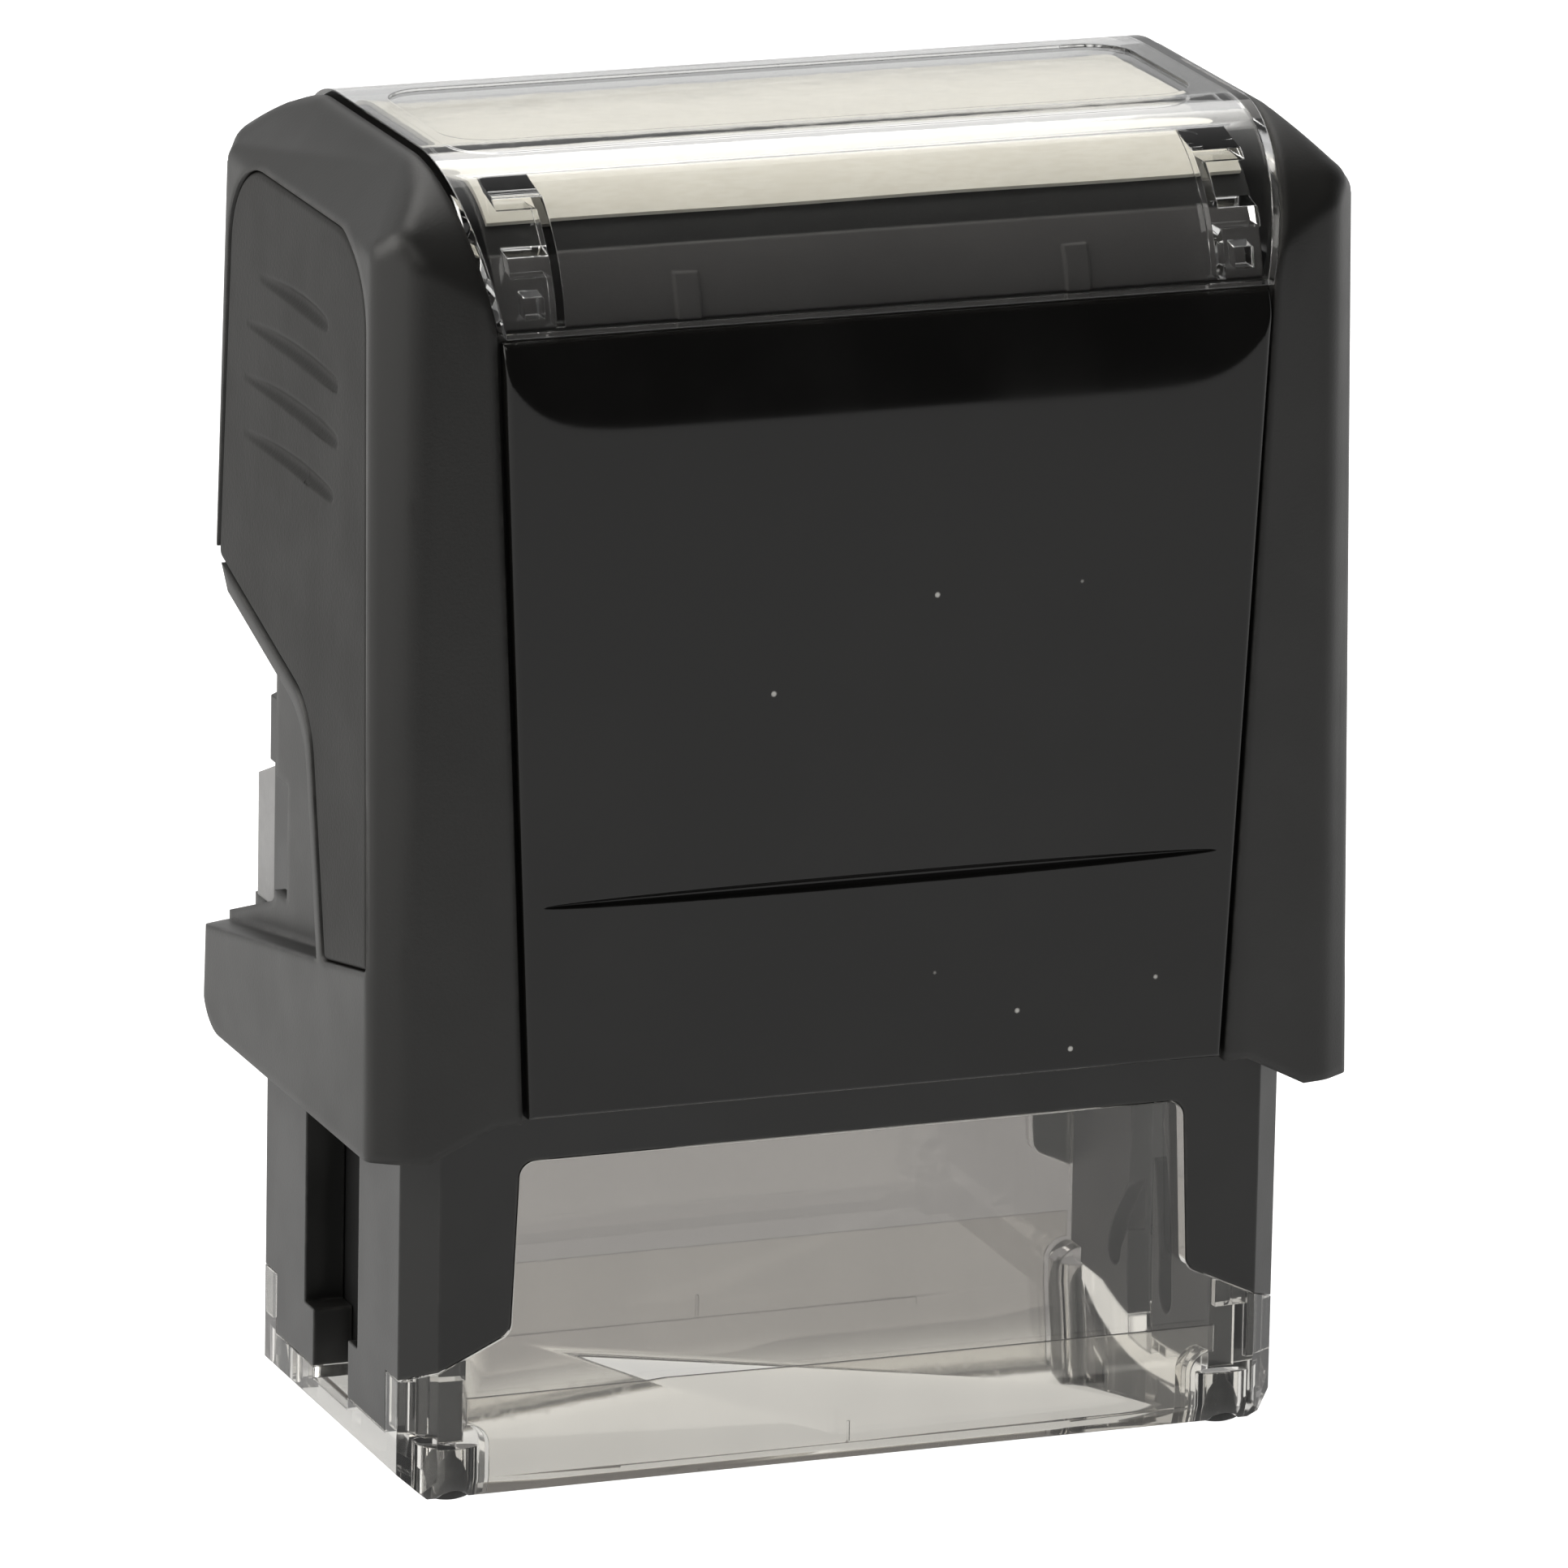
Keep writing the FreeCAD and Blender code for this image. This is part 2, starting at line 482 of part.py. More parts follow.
def clear_foot():
    """Clear foot: a skirt with panes that fill the portals, corner bosses and marks."""
    ring = base_plan(FOOT_LIFT, FRAME_CORNER_Z - SEAT_GAP)
    ring = ring.cut(box(
        -GUIDE_IN_X, GUIDE_IN_X, FOOT_WALL - BASE_Y, BASE_Y - FOOT_WALL, -OVER, PORTAL_TOP_Z))
    floor = FRAME_FOOT_Z - SEAT_GAP
    side_room = box(
        GUIDE_IN_X - SEAT_GAP, BASE_X + OVER,
        -FRAME_FOOT_HALF_Y - SEAT_GAP, FRAME_FOOT_HALF_Y + SEAT_GAP, floor, PORTAL_TOP_Z)
    guide_room = box(
        GUIDE_IN_X - SEAT_GAP, GUIDE_OUT_X + SEAT_GAP,
        -TONGUE_IN_Y, TONGUE_IN_Y, floor, PORTAL_TOP_Z)
    channel = box(
        GUIDE_OUT_X, BASE_X + OVER, -ARM_END_RADIUS - SLIDE_GAP, ARM_END_RADIUS + SLIDE_GAP,
        CHANNEL_FLOOR_Z, PORTAL_TOP_Z)
    axle_room = box(
        0, GUIDE_OUT_X + OVER, -AXLE_RADIUS - SLIDE_GAP, AXLE_RADIUS + SLIDE_GAP,
        CHANNEL_FLOOR_Z, PORTAL_TOP_Z)
    boss_in, boss_out = RUBBER_X - BOSS_HALF_X, GUIDE_IN_X + SEAT_GAP
    boss = prism(
        [(boss_in, FOOT_LIFT), (boss_out, FOOT_LIFT), (boss_out, BOSS_HEIGHT),
         (boss_in, BOSS_HEIGHT)],
        RUBBER_Y - BOSS_HALF_Y, BASE_Y - FOOT_WALL + SEAT_GAP, "XZ", [0, 0, 0, BOSS_ROUND])
    bosses = [b for a in both(boss) for b in both(a, "Y")]
    pane = portal(-BASE_Y, -FRAME_IN_Y + SEAT_GAP, SEAT_GAP)
    pane = pane.common(base_plan(FRAME_CORNER_Z - OVER, PORTAL_TOP_Z))
    tongue = box(
        -GUIDE_IN_X - SEAT_GAP, GUIDE_IN_X + SEAT_GAP, -FRAME_IN_Y + SEAT_GAP,
        -TONGUE_IN_Y, FOOT_LIFT, PORTAL_TOP_Z + TONGUE_OVERLAP)
    rooms = [side_room, guide_room, channel, axle_room]
    solid = fuse([ring, *bosses]).cut([room for r in rooms for room in both(r)])
    solid = fuse([solid, *both(pane, "Y"), *both(tongue, "Y")])
    x, y, z = BASE_X + OVER, BASE_Y + OVER, FOOT_LIFT
    rim, past = z + FOOT_BEVEL_Z, z + FOOT_BEVEL_Z + OVER
    bevel_x = [(BASE_X - FOOT_BEVEL_X, z), (BASE_X, rim), (x, past), (x, FRAME_TOP_Z)]
    bevel_y = [(BASE_Y - FOOT_BEVEL_Y, z), (BASE_Y, rim), (y, past), (y, FRAME_TOP_Z)]
    solid = solid.common(prism(symmetric(bevel_x), -y, y, "XZ"))
    solid = solid.common(prism(symmetric(bevel_y), -x, x, "YZ"))
    sockets = [
        Part.makeCylinder(RUBBER_RADIUS, RUBBER_HEIGHT + SEAT_GAP, Vector(sx, sy, 0))
        for sx in (RUBBER_X, -RUBBER_X) for sy in (RUBBER_Y, -RUBBER_Y)
    ]
    mark = box(-MARK_WIDTH / 2, MARK_WIDTH / 2, -y, MARK_DEPTH - BASE_Y, 0, MARK_TOP_Z)
    recess = box(-RELIEF_HALF_X, RELIEF_HALF_X, -y, RELIEF_DEPTH - BASE_Y, 0, RELIEF_Z)
    cuts = [*sockets, *corner_plugs(SEAT_GAP), *both(mark, "Y"), *both(recess, "Y")]
    return solid.cut(cuts)


def rubber_feet():
    """Four domed rubber feet in their sockets."""
    stem = RUBBER_HEIGHT - RUBBER_RADIUS
    reach = RUBBER_RADIUS + OVER
    feet = []
    for x in (RUBBER_X, -RUBBER_X):
        for y in (RUBBER_Y, -RUBBER_Y):
            foot = Part.makeCylinder(RUBBER_RADIUS, stem, Vector(x, y, 0))
            dome = Part.makeSphere(RUBBER_RADIUS, Vector(x, y, stem))
            dome = dome.common(box(x - reach, x + reach, y - reach, y + reach, stem - CROSS, stem + reach))
            feet.append(fuse([foot, dome]))
    return Part.makeCompound(feet)


def cartridge_tray():
    """Ink cartridge: an open-bottomed tray with a handle behind the frame."""
    x = GUIDE_IN_X - SLIDE_GAP
    front = -(FRAME_IN_Y - SLIDE_GAP)
    back = BASE_Y + SLIDE_GAP
    body = box(-x, x, front, back + SEAT_GAP, PAD_Z, CARTRIDGE_TOP_Z)
    pocket_x, pocket_y = PLATE_LENGTH / 2 + PAD_MARGIN, PLATE_DEPTH / 2 + PAD_MARGIN_Y
    pocket = box(
        -pocket_x, pocket_x, -pocket_y, pocket_y,
        PAD_Z - OVER, CARTRIDGE_TOP_Z - CARTRIDGE_WALL)
    side, outside = BASE_X - HANDLE_INSET, back + HANDLE_DEPTH
    wing = GUIDE_OUT_X + SLIDE_GAP
    plan = symmetric([
        (wing, back), (wing, HANDLE_WING_Y), (side, HANDLE_WING_Y),
        (side, outside - HANDLE_CORNER), (side - HANDLE_CORNER, outside)])
    handle = prism(plan, HANDLE_LOW_Z, HANDLE_TOP_Z, "XY")
    cut_y, cut_z = outside - HANDLE_CUT_RUN, HANDLE_TOP_Z
    bevel = prism([(cut_y, cut_z), (outside + OVER, cut_z - HANDLE_CUT), (outside + OVER, cut_z + OVER)],
                  -side - OVER, side + OVER, "YZ")
    middle = (HANDLE_LOW_Z + HANDLE_TOP_Z - HANDLE_CUT) / 2
    dish = rod(HANDLE_DISH, -side + HANDLE_CUT, side - HANDLE_CUT,
               outside + HANDLE_DISH - HANDLE_DISH_DEPTH, middle)
    return fuse([body.cut(pocket), handle.cut([bevel, dish])])


def ink_pad():
    """Felt pad, face down in the tray."""
    x = PLATE_LENGTH / 2 + PAD_MARGIN - SEAT_GAP
    y = PLATE_DEPTH / 2 + PAD_MARGIN_Y - SEAT_GAP
    return box(-x, x, -y, y, PAD_Z, PAD_Z + PAD_THICKNESS)


def die_holder():
    """Plate that carries the text plate, with cheeks, ribs and the lugs that turn it."""
    low, high = AXLE_Z + HOLDER_RISE, AXLE_Z + DIE_SEAT
    plate = box(-CHEEK_OUT_X, CHEEK_OUT_X, -HOLDER_Y, HOLDER_Y, low, high)
    reach = LUG_REACH + CHEEK_TAIL
    tall = CHEEK_HALF_HEIGHT
    z = AXLE_Z
    points = [(reach, z - tall), (reach, z + tall), (-reach, z + tall), (-reach, z - tall)]
    cheek = prism(points, CHEEK_IN_X, CHEEK_OUT_X, "YZ", [CHEEK_ROUND] * 4)
    hole = rod(AXLE_RADIUS, CHEEK_OUT_X - AXLE_INSET, CHEEK_OUT_X + OVER, 0, AXLE_Z)
    lugs = [
        rod(LUG_RADIUS, CHEEK_OUT_X - CROSS, GUIDE_IN_X + LUG_DEPTH, y, AXLE_Z)
        for y in (LUG_REACH, -LUG_REACH)
    ]
    spine = box(-CHEEK_IN_X, CHEEK_IN_X, -RIB, RIB, AXLE_Z - HOLDER_RISE, low)
    pitch = PLATE_LENGTH / RIB_COUNT
    ribs = [
        box(x - RIB / 2, x + RIB / 2, RIB - HOLDER_Y, HOLDER_Y - RIB, AXLE_Z, low)
        for x in [pitch * (i - (RIB_COUNT - 1) / 2) for i in range(RIB_COUNT)]
    ]
    ends = both(fuse([cheek.cut(hole), *lugs]))
    return fuse([plate, spine, *ribs, *ends])


def die_cushion():
    """Foam between the holder and the text plate."""
    x, y = PLATE_LENGTH / 2, PLATE_DEPTH / 2
    return box(-x, x, -y, y, AXLE_Z + DIE_SEAT, AXLE_Z + DIE_SEAT + CUSHION)


def text_plate():
    """Rubber text plate: a sheet with a raised frame and plain raised bars."""
    x, y = PLATE_LENGTH / 2, PLATE_DEPTH / 2
    low = AXLE_Z + DIE_SEAT + CUSHION
    sheet_top = low + PLATE_SHEET
    high = AXLE_Z + DIE_FACE
    sheet = box(-x, x, -y, y, low, sheet_top)
    ox, oy = x - RELIEF_MARGIN, y - RELIEF_MARGIN
    ix, iy = ox - RELIEF_BORDER, oy - RELIEF_BORDER
    frame = box(-ox, ox, -oy, oy, sheet_top - CROSS, high).cut(
        box(-ix, ix, -iy, iy, sheet_top - OVER, high + OVER))
    pitch = 2 * iy / (RELIEF_BARS + 1)
    bars = []
    for i in range(RELIEF_BARS):
        centre = pitch * (i + 1) - iy
        half = ix - RELIEF_MARGIN - RELIEF_STEP * i
        bars.append(box(-half, half, centre - RELIEF_BORDER, centre + RELIEF_BORDER,
                        sheet_top - CROSS, high))
    return fuse([sheet, frame, *bars])


def axle_pin():
    """Right axle pin, from the cheek through the guide plate to the arm."""
    return rod(AXLE_RADIUS, CHEEK_OUT_X - AXLE_INSET, ARM_OUT_X, 0, AXLE_Z)


def yoke():
    """Cross beam under the top, with an arm down each side to the axle."""
    end = AXLE_Z - ARM_END_RADIUS
    taper = AXLE_Z + ARM_TAPER
    top = BEAM_Z + BEAM
    points = symmetric([
        (ARM_END_RADIUS, end), (ARM_END_RADIUS, AXLE_Z), (ARM_HALF_Y, taper), (ARM_HALF_Y, top)])
    arm = prism(points, ARM_IN_X, ARM_OUT_X, "YZ", [ARM_TIP_ROUND, *[0] * 6, ARM_TIP_ROUND])
    arm = arm.cut(rod(AXLE_RADIUS + RUN_GAP, ARM_IN_X - OVER, ARM_OUT_X + OVER, 0, AXLE_Z))
    beam = box(-ARM_OUT_X, ARM_OUT_X, -BEAM_HALF_Y, BEAM_HALF_Y, BEAM_Z, top)
    narrow = box(
        ARM_IN_X - OVER, ARM_OUT_X + OVER, ARM_HALF_Y, BEAM_HALF_Y + OVER,
        BEAM_Z - OVER, top + OVER)
    corners = [b for a in both(narrow) for b in both(a, "Y")]
    cup = Part.makeCylinder(POST_RADIUS, SPRING_CUP_HEIGHT,
                            Vector(0, 0, BEAM_Z - SPRING_CUP_HEIGHT))
    return fuse([beam.cut(corners), cup, *both(arm)])


def return_spring():
    """Compression spring between the frame's deck and the yoke's beam."""
    low = FRAME_TOP_Z + SPRING_WIRE
    height = BEAM_Z - SPRING_WIRE - low
    helix = Part.makeHelix(height / SPRING_TURNS, height, SPRING_RADIUS)
    helix.translate(Vector(0, 0, low))
    section = Part.Wire(Part.makeCircle(
        SPRING_WIRE, Vector(SPRING_RADIUS, 0, low), Vector(0, 1, 0)))
    return Part.Wire(helix.Edges).makePipeShell([section], True, True)


def cap_plan(z, lean):
    """The cap's outline at a height, where its side corners lean in by lean."""
    x = CAP_X - CAP_DRAFT * lean
    corner = CAP_Y - CORNER_INSET - CORNER_TAPER * lean
    chest = CAP_Y - CHEST_INSET_Y - CHEST_TAPER * lean
    y = CAP_Y - SEAT_GAP
    half = [
        (PANEL_HALF_LOW, -y), (x - CHEST_INSET_X, -chest), (x, -corner),
        (x, corner), (x - CHEST_INSET_X, chest), (PANEL_HALF_LOW, y)]
    radii = [0, CHEST_ROUND, CORNER_ROUND, CORNER_ROUND, CHEST_ROUND, 0]
    wire = outline(symmetric(half), radii + radii[::-1])
    wire.translate(Vector(0, 0, z))
    return wire


def window_side(z0, z1, inset):
    """The space between the columns where the window sits, less an inset at each side."""
    top, low = WINDOW_HALF_X - inset, WINDOW_HALF_X - WINDOW_NARROWING - inset
    half = [(low, z0), (low, WINDOW_LOW_Z), (top, TOP_Z), (top, z1)]
    return prism(symmetric(half), -CAP_Y - OVER, CAP_Y + OVER, "XZ")


def side_profile(inset, low, x0, x1):
    """The rounded side view of the cap's top, inset all round, as a solid along X."""
    y = CAP_Y - inset
    points = symmetric([(y, CAP_LOW_Z - OVER), (y, TOP_Z - inset)])
    radius = TOP_ROUND - inset
    whole = prism(points, x0, x1, "YZ", [0, radius, radius, 0])
    return whole.common(box(x0, x1, -y, y, low, TOP_Z))


def grip_outline(gap):
    """The grip's outline, less a gap all round, in the YZ plane of the right side."""
    points = [
        (gap - GRIP_FRONT_Y, GRIP_LOW_Z + gap),
        (-GRIP_HEEL_Y - gap, GRIP_HEEL_Z + gap),
        (GRIP_WAIST_Y - gap, GRIP_WAIST_Z + gap),
        (GRIP_BACK_Y - gap, GRIP_BACK_Z + gap),
        (GRIP_TOP_HALF_Y - gap, GRIP_TOP_Z - gap),
        (gap - GRIP_TOP_HALF_Y, GRIP_TOP_Z - gap),
    ]
    radii = [
        GRIP_HEEL_ROUND, GRIP_HEEL_ROUND, GRIP_WAIST_ROUND, GRIP_BACK_ROUND,
        GRIP_TOP_ROUND, GRIP_TOP_ROUND]
    return points, radii


def blended(solid):
    """Rounds the creases where the shoulders meet the columns."""
    creases = []
    for edge in solid.Edges:
        middle = edge.valueAt((edge.FirstParameter + edge.LastParameter) / 2)
        if middle.z < PANEL_TOP_Z - PANEL_BEND_DROP or abs(middle.x) < PANEL_HALF_TOP:
            continue
        sides = [
            face.normalAt(*face.Surface.parameter(middle))
            for face in solid.ancestorsOfType(edge, Part.Face)]
        if len(sides) == 2 and CREASE_FROM < sides[0].getAngle(sides[1]) < CREASE_TO:
            creases.append(edge)
    return solid.makeFillet(SHOULDER_BLEND, creases)


def cap_outside():
    """The cap's outer form: a tapered plan, sloping shoulders and a rounded top."""
    top = COLUMN_TOP_Z + OVER
    lean = (top - CAP_LOW_Z) / (GRIP_TOP_Z - CAP_LOW_Z)
    body = Part.makeLoft([cap_plan(CAP_LOW_Z, 0), cap_plan(top, lean)], True, True)
    shoulder_x = CAP_X - CAP_DRAFT
    view = symmetric([
        (CAP_X + OVER, CAP_LOW_Z - OVER), (CAP_X + OVER, GRIP_TOP_Z - SHOULDER_EASE),
        (shoulder_x, COLUMN_TOP_Z - SHOULDER_DROP),
        (shoulder_x - SHOULDER_RUN, COLUMN_TOP_Z)])
    radii = [0, 0, SHOULDER_ROUND, SHOULDER_ROUND]
    shoulders = prism(view, -CAP_Y - OVER, CAP_Y + OVER, "XZ", radii + radii[::-1])
    rounded = side_profile(COLUMN_BELOW_WINDOW, CAP_LOW_Z - OVER, -CAP_X - OVER, CAP_X + OVER)
    return blended(body.common(shoulders).common(rounded))


def panel_pocket(z0, z1, gap):
    """Room for a gloss panel in the front face."""
    rise = (PANEL_HALF_TOP - PANEL_HALF_LOW) / (PANEL_TOP_Z - PANEL_LOW_Z)
    low = PANEL_HALF_LOW + rise * (z0 - PANEL_LOW_Z) + gap
    top = PANEL_HALF_LOW + rise * (z1 - PANEL_LOW_Z) + gap
    half = [(low, z0 - gap), (top, z1 + gap)]
    return prism(symmetric(half), -CAP_Y - OVER, -PANEL_IN_Y, "XZ")


def cap_shell():
    """Matte cap: two columns joined by the front and back walls, open below."""
    solid = cap_outside()
    roof = WINDOW_LOW_Z + OVER
    cavity = box(-CAVITY_X, CAVITY_X, -CAVITY_Y, CAVITY_Y, CAP_LOW_Z - OVER, roof)
    saddle = window_side(WINDOW_LOW_Z - SEAT_GAP, TOP_Z + OVER, -WINDOW_GAP)
    arm_room = box(
        0, ARM_OUT_X + SEAT_GAP, -ARM_HALF_Y - SEAT_GAP, ARM_HALF_Y + SEAT_GAP,
        CAP_LOW_Z, BEAM_Z + BEAM + SEAT_GAP)
    foot_x = CAP_X - ARCH_FOOT
    arch = prism(
        symmetric([(foot_x, CAP_LOW_Z - OVER), (foot_x, CAP_LOW_Z),
                   (foot_x - ARCH_SLOPE, CAP_LOW_Z + ARCH_RISE)]),
        -CAP_Y - OVER, CAP_Y + OVER, "XZ")
    front = panel_pocket(PANEL_LOW_Z, PANEL_TOP_Z + WINDOW_DROP, PANEL_GAP)
    back = mirrored(panel_pocket(REAR_PANEL_Z, PANEL_TOP_Z + WINDOW_DROP, PANEL_GAP), "Y")
    door = box(-CAVITY_X, CAVITY_X, CAVITY_Y - OVER, CAP_Y + OVER, REAR_SILL_Z, REAR_HEAD_Z)
    far, top = CAP_Y + 2 * OVER, GRIP_BACK_Z + RECESS_ABOVE
    notch = prism(
        [(NOTCH_Y, NOTCH_LOW_Z), (far, RECESS_BACK_Z - SEAT_GAP), (far, top),
         (GRIP_BACK_Y, top), (NOTCH_Y, NOTCH_TOP_Z)],
        CAVITY_X - OVER, CAP_X + OVER, "YZ", [NOTCH_ROUND, 0, 0, 0, NOTCH_ROUND])
    slot = box(CAVITY_X - OVER, CAP_X + OVER, SLOT_Y, NOTCH_Y + OVER, SLOT_LOW_Z, SLOT_TOP_Z)
    points, radii = grip_outline(-SEAT_GAP)
    pocket = prism(points, GRIP_IN_X - SEAT_GAP, CAP_X + OVER, "YZ", radii)
    recess = prism(
        [(RECESS_FRONT_Y, RECESS_FRONT_Z), (far, RECESS_BACK_Z), (far, top),
         (RECESS_FRONT_Y, top)],
        RECESS_X, CAP_X + OVER, "YZ")
    points, radii = grip_outline(-RECESS_LIP)
    recess = recess.cut(prism(points, 0, CAP_X + 2 * OVER, "YZ", radii))
    heel_y, heel_z = CAP_Y - CORNER_INSET - HEEL_ROUND, CAP_LOW_Z + HEEL_ROUND
    heel = box(CAVITY_X, CAP_X + OVER, heel_y, far, CAP_LOW_Z - OVER, heel_z)
    heel = heel.cut(rod(HEEL_ROUND, 0, CAP_X + 2 * OVER, heel_y, heel_z))
    sides = [s for cut in (arm_room, notch, slot, pocket, recess, heel) for s in both(cut)]
    lock = lock_room(SLIDE_GAP)
    return solid.cut([cavity, saddle, arch, front, back, door, lock, *sides])


def grip():
    """Right side grip with its level finger grooves."""
    points, radii = grip_outline(0)
    plate = prism(points, GRIP_IN_X, CAP_X + OVER, "YZ", radii)
    plate = plate.common(cap_outside())
    grooves = []
    for i in range(GROOVES):
        z = GROOVE_TOP_Z - i * GROOVE_PITCH
        surface = CAP_X - CAP_DRAFT * (z - CAP_LOW_Z) / (GRIP_TOP_Z - CAP_LOW_Z)
        centre = Vector(surface - GROOVE_DEPTH + GROOVE_BEND + GROOVE_RADIUS, GROOVE_Y, z)
        grooves.append(Part.makeTorus(GROOVE_BEND, GROOVE_RADIUS, centre))
    return plate.cut(grooves)


def panel(z0, z1, crease):
    """A gloss panel for the front, leaning back along its top edge."""
    plate = panel_pocket(z0, z1, 0)
    y, back = -CAP_Y, SEAT_GAP - CAP_Y + PANEL
    bend = z1 - min(PANEL_BEND_DROP, (z1 - z0) / 2)
    view = [(back, z0), (y, z0), (y, bend), (y + PANEL_BEND, z1), (back, z1)]
    plate = plate.common(prism(view, -CAP_X, CAP_X, "YZ"))
    if not crease:
        return plate
    half, tall = CREASE_HALF_X, CREASE_HEIGHT / 2
    ends = Vector(-half, CREASE_Z, 0), Vector(half, CREASE_Z, 0)
    lens = Part.Wire([
        Part.Arc(ends[0], Vector(0, CREASE_Z + side * tall, 0), ends[1]).toShape()
        for side in (1, -1)])
    face = laid(Part.Face(lens), "XZ")
    face.translate(Vector(0, y - OVER, 0))
    return plate.cut(face.extrude(Vector(0, OVER + CREASE_DEPTH, 0)))


def lock_room(gap):
    """The lock button's block in the rear wall, with a gap all round."""
    x, z = LOCK_HALF_X + gap, LOCK_HALF_Z + gap
    points = [(x, LOCK_Z - z), (x, LOCK_Z + z), (-x, LOCK_Z + z), (-x, LOCK_Z - z)]
    return prism(points, LOCK_IN_Y, CAP_Y - LOCK_SINK, "XZ", [LOCK_ROUND + gap] * 4)


def lock_button():
    """Button in the rear wall that holds the cap part-way down for a change of cartridge."""
    x, z = LOCK_HALF_X + LOCK_FLANGE, LOCK_HALF_Z + LOCK_FLANGE
    flange = box(-x, x, LOCK_IN_Y, LOCK_IN_Y + LOCK_FLANGE_DEPTH, LOCK_Z - z, LOCK_Z + z)
    dish = Part.makeCylinder(
        LOCK_DISH_RADIUS, 2 * z,
        Vector(0, CAP_Y - LOCK_SINK - LOCK_DISH + LOCK_DISH_RADIUS, LOCK_Z - z))
    return fuse([lock_room(0), flange]).cut(dish)


def card_tray():
    """Tray under the card: a saddle over the beam with an upright strip at each end."""
    inset = WINDOW + CARD_ROOM
    x = WINDOW_HALF_X - WINDOW_NARROWING - WINDOW_GAP
    outer = side_profile(inset, WINDOW_LOW_Z, -x, x)
    inner = side_profile(inset + TRAY, WINDOW_LOW_Z - OVER, -x - OVER, x + OVER)
    strip = side_profile(inset - TRAY_STRIP_PROUD, WINDOW_LOW_Z, -x, x).cut(inner)
    strip = strip.common(box(-x, x, -CAP_Y, 0, WINDOW_LOW_Z, WINDOW_LOW_Z + TRAY_STRIP))
    half = TRAY_RIB_WIDTH / 2
    rib = side_profile(inset - TRAY_RIB_PROUD, WINDOW_LOW_Z, TRAY_RIB_X - half, TRAY_RIB_X + half)
    front = box(0, x, -CAP_Y, -CAP_Y / 2, WINDOW_LOW_Z, WINDOW_LOW_Z + TRAY_RIB_HEIGHT)
    rib = rib.cut(inner).common(front)
    return fuse([outer.cut(inner), strip, *both(rib)])


def index_card():
    """Paper card bent over the tray, from its front edge to its back edge."""
    x = WINDOW_HALF_X - WINDOW_NARROWING - 3 * WINDOW_GAP
    inset = WINDOW + CARD_ROOM
    low = TOP_Z - CARD_DROP
    outer = side_profile(inset - CARD, low, -x, x)
    return outer.cut(side_profile(inset, low - OVER, -x - OVER, x + OVER))


def index_window():
    """Clear window over the top, with a spring tab and a clip at each front corner."""
    outer = side_profile(0, WINDOW_LOW_Z, -CAP_X, CAP_X)
    inner = side_profile(WINDOW, WINDOW_LOW_Z - OVER, -CAP_X - OVER, CAP_X + OVER)
    shell = outer.cut(inner).common(window_side(WINDOW_LOW_Z - OVER, TOP_Z + OVER, WINDOW_GAP))
    well_x, well_y = WINDOW_HALF_X - WINDOW_RAIL, WELL_HALF_Y
    well = prism(
        [(well_x, -well_y), (well_x, well_y), (-well_x, well_y), (-well_x, -well_y)],
        TOP_Z - WELL_DEPTH, TOP_Z + OVER, "XY", [WELL_ROUND] * 4)
    tab_top = TOP_Z - TAB_TOP_DROP
    tab_low = tab_top - TAB_HEIGHT
    clip_top = WINDOW_LOW_Z + CLIP_HEIGHT
    far = WINDOW_HALF_X + OVER
    front = -CAP_Y - OVER
    rim = WINDOW_HALF_X - WINDOW_NARROWING - WINDOW_GAP - SLIT
    upright = box(SLIT_X, SLIT_X + SLIT, front, -CAP_Y / 2, tab_low - SLIT, tab_top)
    level = box(SLIT_X, rim, front, -CAP_Y / 2, tab_top - SLIT, tab_top)
    gap = box(SLIT_X, rim, front, -CAP_Y / 2, clip_top, tab_low)
    middle = (SLIT_X + SLIT + rim) / 2
    hole_z = (WINDOW_LOW_Z + clip_top) / 2
    half = CLIP_HOLE / 2
    hole = box(middle - half, middle + half, front, -CAP_Y / 2, hole_z - half, hole_z + half)
    beside = box(SLIT_X, SLIT_X + SLIT, front, -CAP_Y / 2, WINDOW_LOW_Z + SLIT, tab_low)
    cuts = [upright, level, gap, hole, beside]
    return shell.cut([well, *[c for cut in cuts for c in both(cut)]])


def build():
    """Makes every part and writes one STEP file for each."""
    right_guide, right_grip, right_pin = guide_plate(), grip(), axle_pin()
    parts = {
        "base_frame": base_frame(),
        "guide_plate_right": right_guide,
        "guide_plate_left": mirrored(right_guide),
        "clear_foot": clear_foot(),
        "rubber_feet": rubber_feet(),
        "cartridge_tray": cartridge_tray(),
        "ink_pad": ink_pad(),
        "die_holder": die_holder(),
        "die_cushion": die_cushion(),
        "text_plate": text_plate(),
        "axle_pin_right": right_pin,
        "axle_pin_left": mirrored(right_pin),
        "yoke": yoke(),
        "return_spring": return_spring(),
        "cap_shell": cap_shell(),
        "grip_right": right_grip,
        "grip_left": mirrored(right_grip),
        "front_panel": panel(PANEL_LOW_Z, PANEL_TOP_Z, True),
        "rear_panel": mirrored(panel(REAR_PANEL_Z, PANEL_TOP_Z, False), "Y").cut(
            lock_room(SLIDE_GAP)),
        "lock_button": lock_button(),
        "card_tray": card_tray(),
        "index_card": index_card(),
        "index_window": index_window(),
    }
    os.makedirs("parts", exist_ok=True)
    for name, shape in parts.items():
        shape.exportStep(f"parts/{name}.step")
        size = shape.BoundBox
        print(f"{name:18s} {len(shape.Solids)} solids  valid {shape.isValid()}  "
              f"{shape.Volume:9.1f} mm3  x {size.XMin:7.2f} {size.XMax:6.2f}  "
              f"y {size.YMin:7.2f} {size.YMax:6.2f}  z {size.ZMin:6.2f} {size.ZMax:6.2f}")


build()
